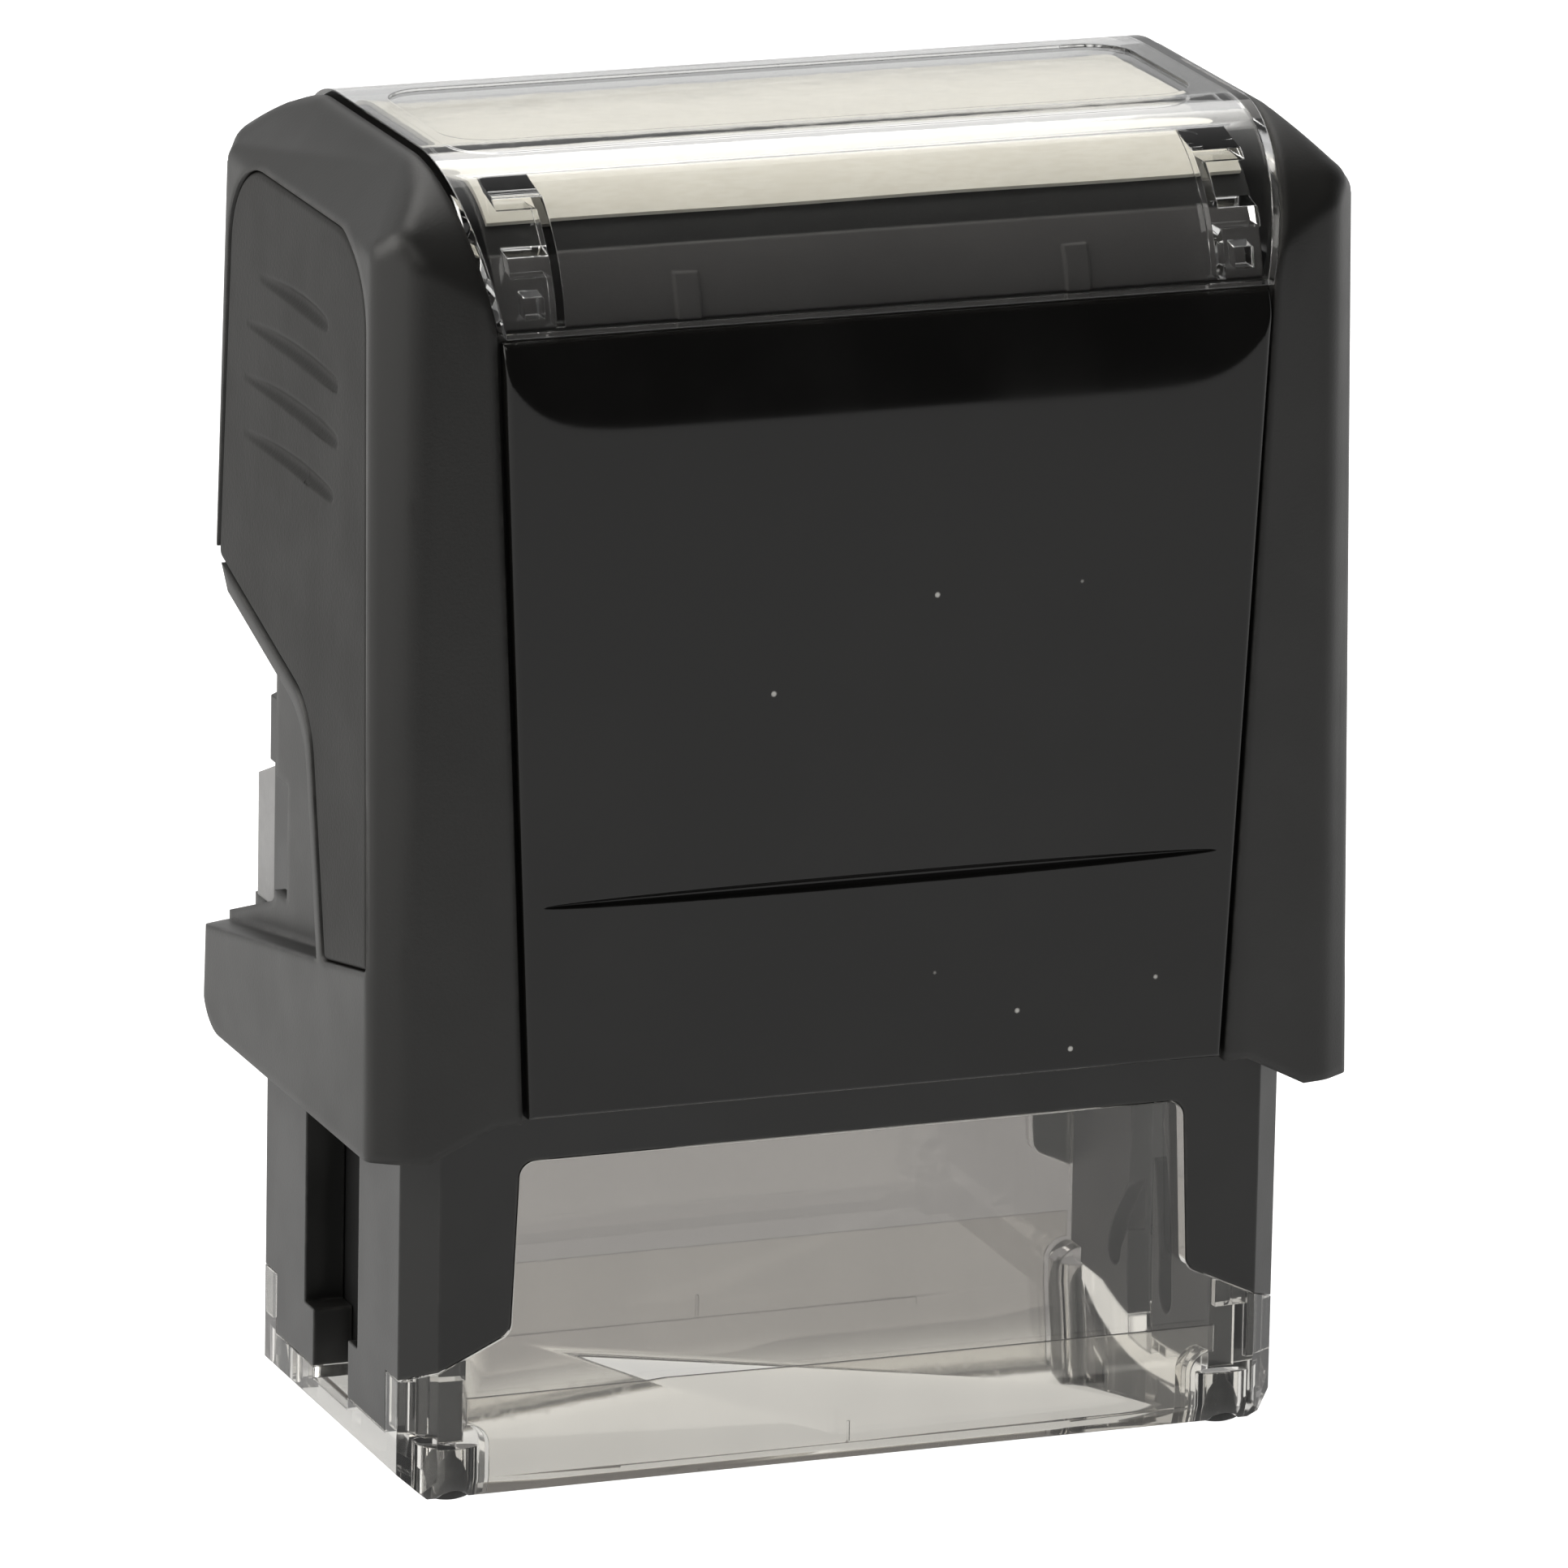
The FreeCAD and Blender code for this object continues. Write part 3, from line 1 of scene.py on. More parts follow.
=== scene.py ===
"""Looks of a self-inking stamp: its finishes, and the finished pieces around the CAD frame.

Metres. +Z is up, X runs across the width and the front faces -Y, as in the frame.
"""
import logging
import math
from collections.abc import Callable, Sequence
from dataclasses import dataclass
from enum import Enum

import bmesh
import bpy
import numpy as np
from mathutils import Matrix, Vector


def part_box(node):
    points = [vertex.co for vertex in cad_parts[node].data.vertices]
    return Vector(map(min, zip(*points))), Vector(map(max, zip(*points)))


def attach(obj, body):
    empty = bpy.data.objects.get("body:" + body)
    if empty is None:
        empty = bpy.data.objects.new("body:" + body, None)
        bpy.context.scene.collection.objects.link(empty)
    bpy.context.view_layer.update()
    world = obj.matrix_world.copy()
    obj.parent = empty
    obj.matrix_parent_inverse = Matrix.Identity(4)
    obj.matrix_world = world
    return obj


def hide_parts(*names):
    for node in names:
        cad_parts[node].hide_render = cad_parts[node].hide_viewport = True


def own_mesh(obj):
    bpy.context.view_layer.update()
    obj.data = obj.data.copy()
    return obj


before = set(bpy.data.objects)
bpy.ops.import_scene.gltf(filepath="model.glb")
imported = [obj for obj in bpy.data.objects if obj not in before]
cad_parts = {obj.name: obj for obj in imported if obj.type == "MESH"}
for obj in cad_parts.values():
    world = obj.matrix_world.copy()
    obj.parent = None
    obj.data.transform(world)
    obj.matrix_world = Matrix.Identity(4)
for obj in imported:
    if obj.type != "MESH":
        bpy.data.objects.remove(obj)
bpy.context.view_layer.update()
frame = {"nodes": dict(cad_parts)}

LOG = logging.getLogger("stamp")
MM = 0.001
Colour = tuple[float, float, float]
Point = tuple[float, float, float]
Socket = bpy.types.NodeSocket


class Body(Enum):
    """The moving bodies that pieces ride on."""

    BASE = "base"
    CAP = "cap"
    DIE = "die"
    CARTRIDGE = "cartridge"
    WINDOW = "window"
    LOCK = "lock"


class Side(Enum):
    """The sides of the stamp, by the sign of X."""

    LEFT = -1.0
    RIGHT = 1.0


# ---- finishes ---------------------------------------------------------------------------


class Graph:
    """A material's nodes, with one call for each pattern that the finishes use."""

    def __init__(self, name: str) -> None:
        """Starts a material with one shader.

        Args:
            name: The material's name.
        """
        self.material = bpy.data.materials.new(name)
        self.material.use_nodes = True
        self.tree = self.material.node_tree
        self.tree.nodes.clear()
        self.output = self.node("ShaderNodeOutputMaterial")
        self.shader = self.node("ShaderNodeBsdfPrincipled")
        self.link(self.shader.outputs["BSDF"], self.output.inputs["Surface"])
        self.place = self.node("ShaderNodeTexCoord").outputs["Object"]

    def node(self, kind: str, **settings: object) -> bpy.types.Node:
        """Adds a node and sets its own settings.

        Args:
            kind: The node's type.
            **settings: Attributes of the node.

        Returns:
            The new node.
        """
        made = self.tree.nodes.new(kind)
        for name, value in settings.items():
            setattr(made, name, value)
        return made

    def link(self, source: Socket, target: Socket) -> None:
        """Joins two sockets."""
        self.tree.links.new(source, target)

    def fixed(self, **values: object) -> None:
        """Sets values that are the same all over the surface on the shader's own sockets.

        Args:
            **values: Socket names, with _ for each space, and their values.
        """
        for name, value in values.items():
            self.shader.inputs[name.replace("_", " ")].default_value = value

    def stretched(self, stretch: Point) -> Socket:
        """The object's coordinates, scaled along each axis.

        Args:
            stretch: Scale along X, Y and Z.

        Returns:
            The scaled coordinates.
        """
        mapping = self.node("ShaderNodeMapping")
        mapping.inputs["Scale"].default_value = stretch
        self.link(self.place, mapping.inputs["Vector"])
        return mapping.outputs["Vector"]

    def noise(self, size: float, detail: float = 3.0, stretch: Point = (1, 1, 1)) -> Socket:
        """Cloudy noise.

        Args:
            size: Size of one patch, in metres.
            detail: Octaves of finer noise on top.
            stretch: Scale along each axis.

        Returns:
            A value from 0 to 1.
        """
        made = self.node("ShaderNodeTexNoise")
        made.inputs["Scale"].default_value = 1 / size
        made.inputs["Detail"].default_value = detail
        self.link(self.stretched(stretch), made.inputs["Vector"])
        return made.outputs["Fac"]

    def cells(self, size: float) -> tuple[Socket, Socket]:
        """Random cells.

        Args:
            size: Size of one cell, in metres.

        Returns:
            The distance from each cell's middle, in cells, and a random colour per cell.
        """
        made = self.node("ShaderNodeTexVoronoi")
        made.inputs["Scale"].default_value = 1 / size
        self.link(self.place, made.inputs["Vector"])
        return made.outputs["Distance"], made.outputs["Color"]

    def span(self, value: Socket, low: float, high: float, a: float = 0.0, b: float = 1.0) -> Socket:
        """Carries one range over to another, smoothly.

        Args:
            value: The value to carry over.
            low: Where the value's range starts.
            high: Where the value's range ends.
            a: The result at low.
            b: The result at high.

        Returns:
            The result, which stays between a and b.
        """
        made = self.node("ShaderNodeMapRange", interpolation_type="SMOOTHSTEP")
        for name, number in (("From Min", low), ("From Max", high), ("To Min", a), ("To Max", b)):
            made.inputs[name].default_value = number
        self.link(value, made.inputs["Value"])
        return made.outputs["Result"]

    def math(self, operation: str, a: Socket, b: Socket | float) -> Socket:
        """A sum, product or other operation.

        Args:
            operation: The operation's name.
            a: First value.
            b: Second value.

        Returns:
            The result.
        """
        made = self.node("ShaderNodeMath", operation=operation)
        self.link(a, made.inputs[0])
        if isinstance(b, float):
            made.inputs[1].default_value = b
        else:
            self.link(b, made.inputs[1])
        return made.outputs[0]

    def mix(self, factor: Socket, a: Colour | Socket, b: Colour) -> Socket:
        """Blends two colours.

        Args:
            factor: 0 for the first colour and 1 for the second.
            a: First colour.
            b: Second colour.

        Returns:
            The blended colour.
        """
        made = self.node("ShaderNodeMix", data_type="RGBA")
        self.link(factor, made.inputs[0])
        if isinstance(a, tuple):
            made.inputs[6].default_value = (*a, 1)
        else:
            self.link(a, made.inputs[6])
        made.inputs[7].default_value = (*b, 1)
        return made.outputs[2]

    def along(self, axis: str) -> Socket:
        """The object's coordinate along one axis.

        Args:
            axis: X, Y or Z.

        Returns:
            The coordinate, in metres.
        """
        made = self.node("ShaderNodeSeparateXYZ")
        self.link(self.place, made.inputs[0])
        return made.outputs[axis]

    def rounded(self, radius: float) -> Socket:
        """The surface's direction, with its edges rounded.

        Args:
            radius: Radius of the rounding, in metres.

        Returns:
            The direction.
        """
        made = self.node("ShaderNodeBevel", samples=6)
        made.inputs["Radius"].default_value = radius
        return made.outputs["Normal"]

    def edges(self, radius: float) -> Socket:
        """Edges and corners, found by how far the rounded direction turns away.

        Args:
            radius: Radius of the rounding, in metres.

        Returns:
            1 on edges and corners, 0 on faces.
        """
        plain = self.node("ShaderNodeNewGeometry").outputs["Normal"]
        dot = self.node("ShaderNodeVectorMath", operation="DOT_PRODUCT")
        self.link(self.rounded(radius), dot.inputs[0])
        self.link(plain, dot.inputs[1])
        return self.span(dot.outputs["Value"], 0.998, 0.9)

    def specks(self, size: float, share: float) -> Socket:
        """Fine specks, such as dust and painted glints: 1 on a speck.

        Args:
            size: Distance between the places where a speck may lie, in metres.
            share: Share of those places that hold one.

        Returns:
            A mask.
        """
        distance, colour = self.cells(size)
        chosen = self.span(colour, 1 - share - 0.002, 1 - share)
        return self.math("MULTIPLY", self.span(distance, 0.12, 0.05), chosen)

    def relief(self, height: Socket, depth: float, under: Socket | None = None) -> Socket:
        """Bump from a height map.

        Args:
            height: The height, from 0 to 1.
            depth: The full height, in metres.
            under: The direction that the bump is laid on.

        Returns:
            The bumped direction.
        """
        made = self.node("ShaderNodeBump")
        made.inputs["Distance"].default_value = depth
        self.link(height, made.inputs["Height"])
        if under is not None:
            self.link(under, made.inputs["Normal"])
        return made.outputs["Normal"]

    def let_lamps_through(self, tint: Colour) -> None:
        """Lets the lamps' rays pass straight through, as they do through a real clear wall.

        Args:
            tint: The share of each colour that passes.
        """
        through = self.node("ShaderNodeBsdfTransparent")
        through.inputs["Color"].default_value = (*tint, 1)
        both = self.node("ShaderNodeMixShader")
        self.link(self.node("ShaderNodeLightPath").outputs["Is Shadow Ray"], both.inputs[0])
        self.link(self.shader.outputs["BSDF"], both.inputs[1])
        self.link(through.outputs["BSDF"], both.inputs[2])
        self.link(both.outputs["Shader"], self.output.inputs["Surface"])

    def finish(self, colour: Socket, roughness: Socket, normal: Socket) -> bpy.types.Material:
        """Joins the varying inputs to the shader.

        Args:
            colour: Base colour.
            roughness: Roughness.
            normal: Direction.

        Returns:
            The finished material.
        """
        self.link(colour, self.shader.inputs["Base Color"])
        self.link(roughness, self.shader.inputs["Roughness"])
        self.link(normal, self.shader.inputs["Normal"])
        return self.material


@dataclass(frozen=True)
class Moulded:
    """Matt moulded plastic: a fine grain, slow mottling, edges lightened partly by rubbed wear and partly
    as painted highlight, pale specks that are partly dust and partly painted glints, and, where asked for,
    painted shade above a height.
    """

    name: str
    colour: Colour = (0.0125, 0.0122, 0.0112)
    # Colour of the lightened edges: partly rubbed wear, partly painted highlight.
    worn_and_lit_edge: Colour = (0.045, 0.043, 0.04)
    roughness: float = 0.4
    grain: float = 0.16 * MM
    grain_depth: float = 0.007 * MM
    edge: float = 0.18 * MM
    soft: float = 0.18 * MM
    dust_and_glints: float = 0.025
    specular: float = 0.45
    painted_shade_above: float | None = None

    def make(self) -> bpy.types.Material:
        """Builds the material.

        Returns:
            The finished material.
        """
        g = Graph(self.name)
        lighter = tuple(min(1.0, 1.12 * c) for c in self.colour)
        colour = g.mix(g.span(g.noise(9 * MM, 2), 0.3, 0.8), self.colour, lighter)
        # Painted highlight, partly rubbed wear: edges are lightened in patches.
        wear_and_highlight = g.math("MULTIPLY", g.edges(2 * self.edge), g.span(g.noise(1.1 * MM), 0.3, 0.75))
        colour = g.mix(wear_and_highlight, colour, self.worn_and_lit_edge)
        # Painted shade: above the given height the colour darkens to near black, the shade under the card's
        # bend.
        if self.painted_shade_above is not None:
            high = g.span(g.along("Z"), self.painted_shade_above - 0.15 * MM, self.painted_shade_above)
            colour = g.mix(high, colour, (0.004, 0.004, 0.004))
        # Pale specks: partly dust, partly painted glints on the grain.
        if self.dust_and_glints:
            colour = g.mix(g.specks(1.3 * MM, self.dust_and_glints), colour, (0.5, 0.49, 0.46))
        rough = g.span(g.noise(5 * MM, 3), 0.3, 0.7, self.roughness - 0.02, self.roughness + 0.03)
        normal = g.relief(g.noise(self.grain, 2), self.grain_depth, g.rounded(self.soft))
        g.fixed(Specular_IOR_Level=self.specular)
        return g.finish(colour, rough, normal)


@dataclass(frozen=True)
class Polished:
    """High-gloss black plastic: faint waves, hairline scuffs and dust."""

    name: str
    colour: Colour = (0.004, 0.0038, 0.0035)
    roughness: float = 0.1
    specular: float = 0.36
    dust_and_glints: float = 0.1

    def make(self) -> bpy.types.Material:
        """Builds the material.

        Returns:
            The finished material.
        """
        g = Graph(self.name)
        haze = g.span(g.noise(11 * MM, 5), 0.4, 0.75)
        colour = g.mix(haze, self.colour, tuple(1.5 * c + 0.002 for c in self.colour))
        colour = g.mix(g.specks(1.6 * MM, self.dust_and_glints), colour, (0.6, 0.59, 0.56))
        scuff = g.span(g.noise(0.25 * MM, 2, (0.05, 1, 1)), 0.72, 0.8, 0.0, 0.1)
        base = g.span(haze, 0.0, 1.0, self.roughness, self.roughness + 0.05)
        rough = g.math("ADD", base, scuff)
        normal = g.relief(g.noise(9 * MM, 1), 0.012 * MM, g.rounded(0.1 * MM))
        g.fixed(Specular_IOR_Level=self.specular)
        return g.finish(colour, rough, normal)


@dataclass(frozen=True)
class Clear:
    """Clear moulded plastic, which may turn smoky towards the back."""

    name: str
    colour: Colour = (0.965, 0.968, 0.962)
    roughness: float = 0.02
    shade: Colour = (0.93, 0.93, 0.92)
    smoke: Colour = (0.36, 0.345, 0.355)
    smoke_from: float | None = None
    smoke_to: float = 0.0
    smoke_share: float = 0.55

    def make(self) -> bpy.types.Material:
        """Builds the material.

        Returns:
            The finished material.
        """
        g = Graph(self.name)
        flow = g.noise(5 * MM, 3, (1, 1, 0.35))
        tint = tuple(0.975 * c for c in self.colour)
        colour = g.mix(g.span(flow, 0.35, 0.7), self.colour, tint)
        colour = g.mix(g.specks(1.7 * MM, 0.004), colour, (0.45, 0.44, 0.42))
        if self.smoke_from is not None:
            place = g.span(g.along("Y"), self.smoke_from, self.smoke_to)
            colour = g.mix(place, colour, self.smoke)
            through = g.span(place, 0.0, 1.0, 1.0, 1 - self.smoke_share)
            g.link(through, g.shader.inputs["Transmission Weight"])
        else:
            g.fixed(Transmission_Weight=1.0)
        rough = g.span(g.noise(0.9 * MM, 3), 0.55, 0.75, self.roughness, self.roughness + 0.06)
        normal = g.relief(flow, 0.01 * MM, g.rounded(0.12 * MM))
        g.fixed(IOR=1.49)
        g.let_lamps_through(self.shade)
        return g.finish(colour, rough, normal)


@dataclass(frozen=True)
class Frosted:
    """Pale translucent plastic of the ink cartridge."""

    name: str
    colour: Colour = (0.22, 0.218, 0.217)
    roughness: float = 0.34

    def make(self) -> bpy.types.Material:
        """Builds the material.

        Returns:
            The finished material.
        """
        g = Graph(self.name)
        shade = tuple(0.88 * c for c in self.colour)
        colour = g.mix(g.span(g.noise(4 * MM, 4), 0.35, 0.7), self.colour, shade)
        colour = g.mix(g.specks(1.2 * MM, 0.01), colour, (0.1, 0.1, 0.1))
        rough = g.span(g.noise(1.5 * MM), 0.3, 0.7, self.roughness, self.roughness + 0.1)
        normal = g.relief(g.noise(0.3 * MM, 2), 0.006 * MM, g.rounded(0.2 * MM))
        g.fixed(Subsurface_Weight=0.35, Subsurface_Radius=(1.4 * MM, 1.4 * MM, 1.3 * MM))
        g.fixed(Subsurface_Scale=1.0)
        return g.finish(colour, rough, normal)


@dataclass(frozen=True)
class Metal:
    """Drawn or turned steel: fine lines along one axis."""

    name: str
    colour: Colour = (0.52, 0.52, 0.53)
    roughness: float = 0.24
    lines: Point = (1, 1, 1)

    def make(self) -> bpy.types.Material:
        """Builds the material.

        Returns:
            The finished material.
        """
        g = Graph(self.name)
        streak = g.noise(0.12 * MM, 3, self.lines)
        dark = tuple(0.62 * c for c in self.colour)
        colour = g.mix(g.span(g.noise(1.5 * MM, 4), 0.45, 0.75), self.colour, dark)
        rough = g.span(streak, 0.3, 0.7, self.roughness - 0.06, self.roughness + 0.12)
        g.fixed(Metallic=1.0)
        return g.finish(colour, rough, g.relief(streak, 0.003 * MM))


@dataclass(frozen=True)
class Soft:
    """Rubber, felt, foam or card: a dull surface with its own fibre or pore."""

    name: str
    colour: Colour
    shade: Colour
    roughness: float = 0.85
    pore: float = 0.2 * MM
    pore_depth: float = 0.03 * MM
    sheen: float = 0.0
    lines: Point = (1, 1, 1)
    ink_above: float | None = None

    def make(self) -> bpy.types.Material:
        """Builds the material.

        Returns:
            The finished material.
        """
        g = Graph(self.name)
        pore = g.noise(self.pore, 4, self.lines)
        colour = g.mix(g.span(pore, 0.35, 0.7), self.colour, self.shade)
        colour = g.mix(g.span(g.noise(4 * MM, 3), 0.5, 0.85), colour, self.shade)
        rough = g.span(pore, 0.3, 0.7, self.roughness - 0.08, min(1.0, self.roughness + 0.08))
        if self.ink_above is not None:
            edge = 0.12 * MM
            inked = g.span(g.along("Z"), self.ink_above - edge, self.ink_above)
            patchy = g.math("MULTIPLY", inked, g.span(g.noise(1.2 * MM), 0.2, 0.5, 0.75, 1.0))
            colour = g.mix(patchy, colour, (0.012, 0.012, 0.02))
            rough = g.math("SUBTRACT", rough, g.span(inked, 0.0, 1.0, 0.0, 0.4))
        g.fixed(Sheen_Weight=self.sheen, Sheen_Roughness=0.5)
        return g.finish(colour, rough, g.relief(pore, self.pore_depth))


Finish = Moulded | Polished | Clear | Frosted | Metal | Soft


class Paints:
    """Every finish of the stamp, each made once."""

    cap = Moulded("cap_satin_black", soft=0.7 * MM)
    frame = Moulded("frame_satin_black", (0.0105, 0.0104, 0.0098), roughness=0.36, grain_depth=0.004 * MM)
    inner = Moulded("inner_black", (0.008, 0.008, 0.008), roughness=0.4, dust_and_glints=0.0)
    grip = Moulded(
        "grip_fine_texture", (0.013, 0.0126, 0.0116), (0.04, 0.038, 0.035), 0.52,
        grain=0.22 * MM, grain_depth=0.016 * MM, dust_and_glints=0.005, specular=0.2)
    # Painted shade darkens the tray's top above 68.6 mm, under the card's bend.
    tray = Moulded(
        "tray_matt_black", (0.055, 0.053, 0.053), roughness=0.5, dust_and_glints=0.002, painted_shade_above=68.6 * MM)
    holder = Moulded("holder_grey", (0.09, 0.09, 0.092), (0.16, 0.16, 0.16), 0.45)
    button = Moulded("button_grey", (0.05, 0.05, 0.05), (0.11, 0.11, 0.11), 0.4)
    panel = Polished("panel_gloss_black")
    window = Clear("window_clear")
    foot = Clear(
        "foot_clear", (0.955, 0.94, 0.905), smoke=(0.3, 0.285, 0.29), smoke_from=11.5 * MM,
        smoke_to=12.2 * MM)
    cartridge = Frosted("cartridge_grey")
    spring = Metal("spring_steel", lines=(1, 1, 0.2))
    pin = Metal("pin_steel", lines=(1, 0.1, 0.1))
    rubber = Soft("foot_rubber", (0.012, 0.012, 0.012), (0.022, 0.022, 0.021), 0.6)
    felt = Soft(
        "pad_felt", (0.012, 0.012, 0.022), (0.03, 0.03, 0.045), 0.95, 0.25 * MM, 0.12 * MM, 0.4)
    foam = Soft("cushion_foam", (0.5, 0.5, 0.48), (0.36, 0.36, 0.34), 0.95, 0.3 * MM, 0.1 * MM)
    card = Soft(
        "card_cream", (0.76, 0.735, 0.66), (0.72, 0.69, 0.61), 0.9, 0.3 * MM, 0.008 * MM,
        lines=(0.3, 1, 1))

    made: dict[str, bpy.types.Material] = {}

    @classmethod
    def get(cls, finish: Finish) -> bpy.types.Material:
        """The finish's material, made at its first use."""
        if finish.name not in cls.made:
            cls.made[finish.name] = finish.make()
        return cls.made[finish.name]


# ---- surfaces ---------------------------------------------------------------------------


def grid_faces(rows: int, columns: int, wrap: bool) -> np.ndarray:
    """Quads between the neighbours of a grid of points.

    Args:
        rows: Rows of the grid.
        columns: Columns of the grid.
        wrap: Whether the last column joins the first.

    Returns:
        Four point numbers for each quad.
    """
    first = np.arange(rows - 1)[:, None] * columns
    here = np.arange(columns if wrap else columns - 1)[None, :]
    after = (here + 1) % columns
    quads = np.stack(
        [first + here, first + after, first + columns + after, first + columns + here], axis=-1)
    return quads.reshape(-1, 4)


def tidy_mesh(mesh: bpy.types.Mesh, angle: float) -> None:
    """Merges doubled points, turns the faces outwards and smooths all but sharp edges.

    Args:
        mesh: The mesh, changed in place.
        angle: Edges sharper than this stay sharp, in radians.
    """
    bm = bmesh.new()
    bm.from_mesh(mesh)
    bmesh.ops.remove_doubles(bm, verts=bm.verts, dist=1e-6)
    bmesh.ops.dissolve_degenerate(bm, edges=bm.edges, dist=1e-7)
    bmesh.ops.recalc_face_normals(bm, faces=bm.faces)
    bm.to_mesh(mesh)
    bm.free()
    mesh.polygons.foreach_set("use_smooth", np.ones(len(mesh.polygons), bool))
    mesh.set_sharp_from_angle(angle=angle)


def surface(name: str, sheets: Sequence[tuple[np.ndarray, bool]]) -> bpy.types.Object:
    """A piece made of one or more grids of points.

    Args:
        name: The piece's name.
        sheets: For each grid, its points as rows x columns x 3, and whether its columns close.

    Returns:
        The new object, at the origin.
    """
    points, faces, count = [], [], 0
    for grid, wrap in sheets:
        rows, columns = grid.shape[:2]
        points.append(grid.reshape(-1, 3))
        faces.append(grid_faces(rows, columns, wrap) + count)
        count += rows * columns
    mesh = bpy.data.meshes.new(name)
    mesh.from_pydata(np.concatenate(points).tolist(), [], np.concatenate(faces).tolist())
    tidy_mesh(mesh, math.radians(50))
    piece = bpy.data.objects.new(name, mesh)
    bpy.context.scene.collection.objects.link(piece)
    return piece


def outline(corners: Sequence[tuple[float, float]], radii: Sequence[float], step: float) -> np.ndarray:
    """A closed outline whose corners are arcs and whose points are evenly spaced.

    Each corner's arc starts and ends at radius / tan(half the corner's angle) from it, and
    its points are the arc's centre plus the radius turned evenly from start to end.

    Args:
        corners: The corners, anticlockwise.
        radii: The radius at each corner.
        step: Distance between points.

    Returns:
        The points, n x 2.
    """
    runs = []
    count = len(corners)
    for i in range(count):
        here = np.array(corners[i])
        before, after = np.array(corners[i - 1]) - here, np.array(corners[(i + 1) % count]) - here
        before, after = before / np.linalg.norm(before), after / np.linalg.norm(after)
        half = math.acos(float(np.clip(before @ after, -1, 1))) / 2
        reach = radii[i] / math.tan(half)
        middle = (before + after) / np.linalg.norm(before + after)
        centre = here + middle * radii[i] / math.sin(half)
        start, end = here + before * reach - centre, here + after * reach - centre
        a = math.atan2(start[1], start[0])
        turn = math.atan2(start[0] * end[1] - start[1] * end[0], float(start @ end))
        angles = a + np.linspace(0, turn, 13)
        runs.append(centre + radii[i] * np.stack([np.cos(angles), np.sin(angles)], axis=-1))
    path = np.concatenate(runs)
    closed = np.concatenate([path, path[:1]])
    length = np.concatenate([[0], np.cumsum(np.linalg.norm(np.diff(closed, axis=0), axis=1))])
    even = np.linspace(0, length[-1], int(length[-1] / step), endpoint=False)
    return np.stack([np.interp(even, length, closed[:, k]) for k in (0, 1)], axis=-1)


def inset(path: np.ndarray, distance: np.ndarray) -> np.ndarray:
    """Rings inside an anticlockwise outline.

    Args:
        path: The outline, n x 2.
        distance: How far in each ring lies, m values.

    Returns:
        The rings, m x n x 2: each point moved along the outline's own inward direction.
    """
    along = np.roll(path, -1, axis=0) - np.roll(path, 1, axis=0)
    along = along / np.linalg.norm(along, axis=1, keepdims=True)
    inward = np.stack([-along[:, 1], along[:, 0]], axis=-1)
    return path[None] + distance[:, None, None] * inward[None]


@dataclass(frozen=True)
class Plate:
    """A plate with a free outline, a shaped face and a rounded rim.

    Its rings run from the middle of the back to the rim, round the rim on a quarter circle
    (inset = radius x (1 - cos a), height = face - radius x (1 - sin a)), and then in to the
    middle of the face, each ring the last one drawn towards the middle.
    """

    path: np.ndarray
    face: Callable[[np.ndarray, np.ndarray], np.ndarray]
    back: float
    rim: float
    middle: tuple[float, float]
    rings: int = 40

    def grid(self) -> np.ndarray:
        """The plate's rings of points.

        Returns:
            Rings x points x 3, with the height as the third value.
        """
        turn = np.linspace(0, math.pi / 2, 6)
        rim = inset(self.path, self.rim * (1 - np.cos(turn)))
        rim_height = self.face(rim[..., 0], rim[..., 1]) - self.rim * (1 - np.sin(turn))[:, None]
        middle = np.array(self.middle)
        share = np.linspace(1, 0, self.rings + 1)[1:, None, None]
        inner = middle + (rim[-1][None] - middle) * share
        inner_height = self.face(inner[..., 0], inner[..., 1])
        back = middle + (self.path[None] - middle) * np.array([0.0, 1.0])[:, None, None]
        back_height = np.full(back.shape[:2], self.back)
        flat = np.concatenate([back, rim, inner])
        height = np.concatenate([back_height, rim_height, inner_height])
        return np.concatenate([flat, height[..., None]], axis=-1)

    def build(self, name: str, side: Side) -> bpy.types.Object:
        """Stands the plate up facing out of one side.

        Args:
            name: The piece's name.
            side: The side that it faces.

        Returns:
            The piece.
        """
        grid = self.grid()
        points = np.stack([side.value * grid[..., 2], grid[..., 0], grid[..., 1]], axis=-1)
        return surface(name, [(points, True)])


def revolved(profile: np.ndarray, centres: np.ndarray, sides: int) -> list[tuple[np.ndarray, bool]]:
    """A profile of radius and height turned about upright axes.

    Args:
        profile: Radius and height pairs, k x 2.
        centres: The axes' feet, n x 3.
        sides: Points round.

    Returns:
        One closed grid for each axis.
    """
    turn = np.linspace(0, 2 * math.pi, sides, endpoint=False)
    ring = np.stack([np.cos(turn), np.sin(turn), np.zeros(sides)], axis=-1)
    grid = profile[:, None, :1] * ring[None] + profile[:, None, 1:] * np.array([0, 0, 1.0])
    return [(grid + centre, True) for centre in centres]


def tube(path: np.ndarray, radius: np.ndarray, sides: int) -> tuple[np.ndarray, bool]:
    """A round bar along a path: a circle across the path at each of its points.

    Args:
        path: The middle line, n x 3.
        radius: The bar's radius at each point; 0 at both ends closes it.
        sides: Points round.

    Returns:
        The closed grid.
    """
    along = np.gradient(path, axis=0)
    along = along / np.linalg.norm(along, axis=1, keepdims=True)
    across = np.cross(along, [0, 0, 1.0])
    across = across / np.linalg.norm(across, axis=1, keepdims=True)
    other = np.cross(along, across)
    turn = np.linspace(0, 2 * math.pi, sides, endpoint=False)[None, :, None]
    circle = across[:, None] * np.cos(turn) + other[:, None] * np.sin(turn)
    return path[:, None] + radius[:, None, None] * circle, True


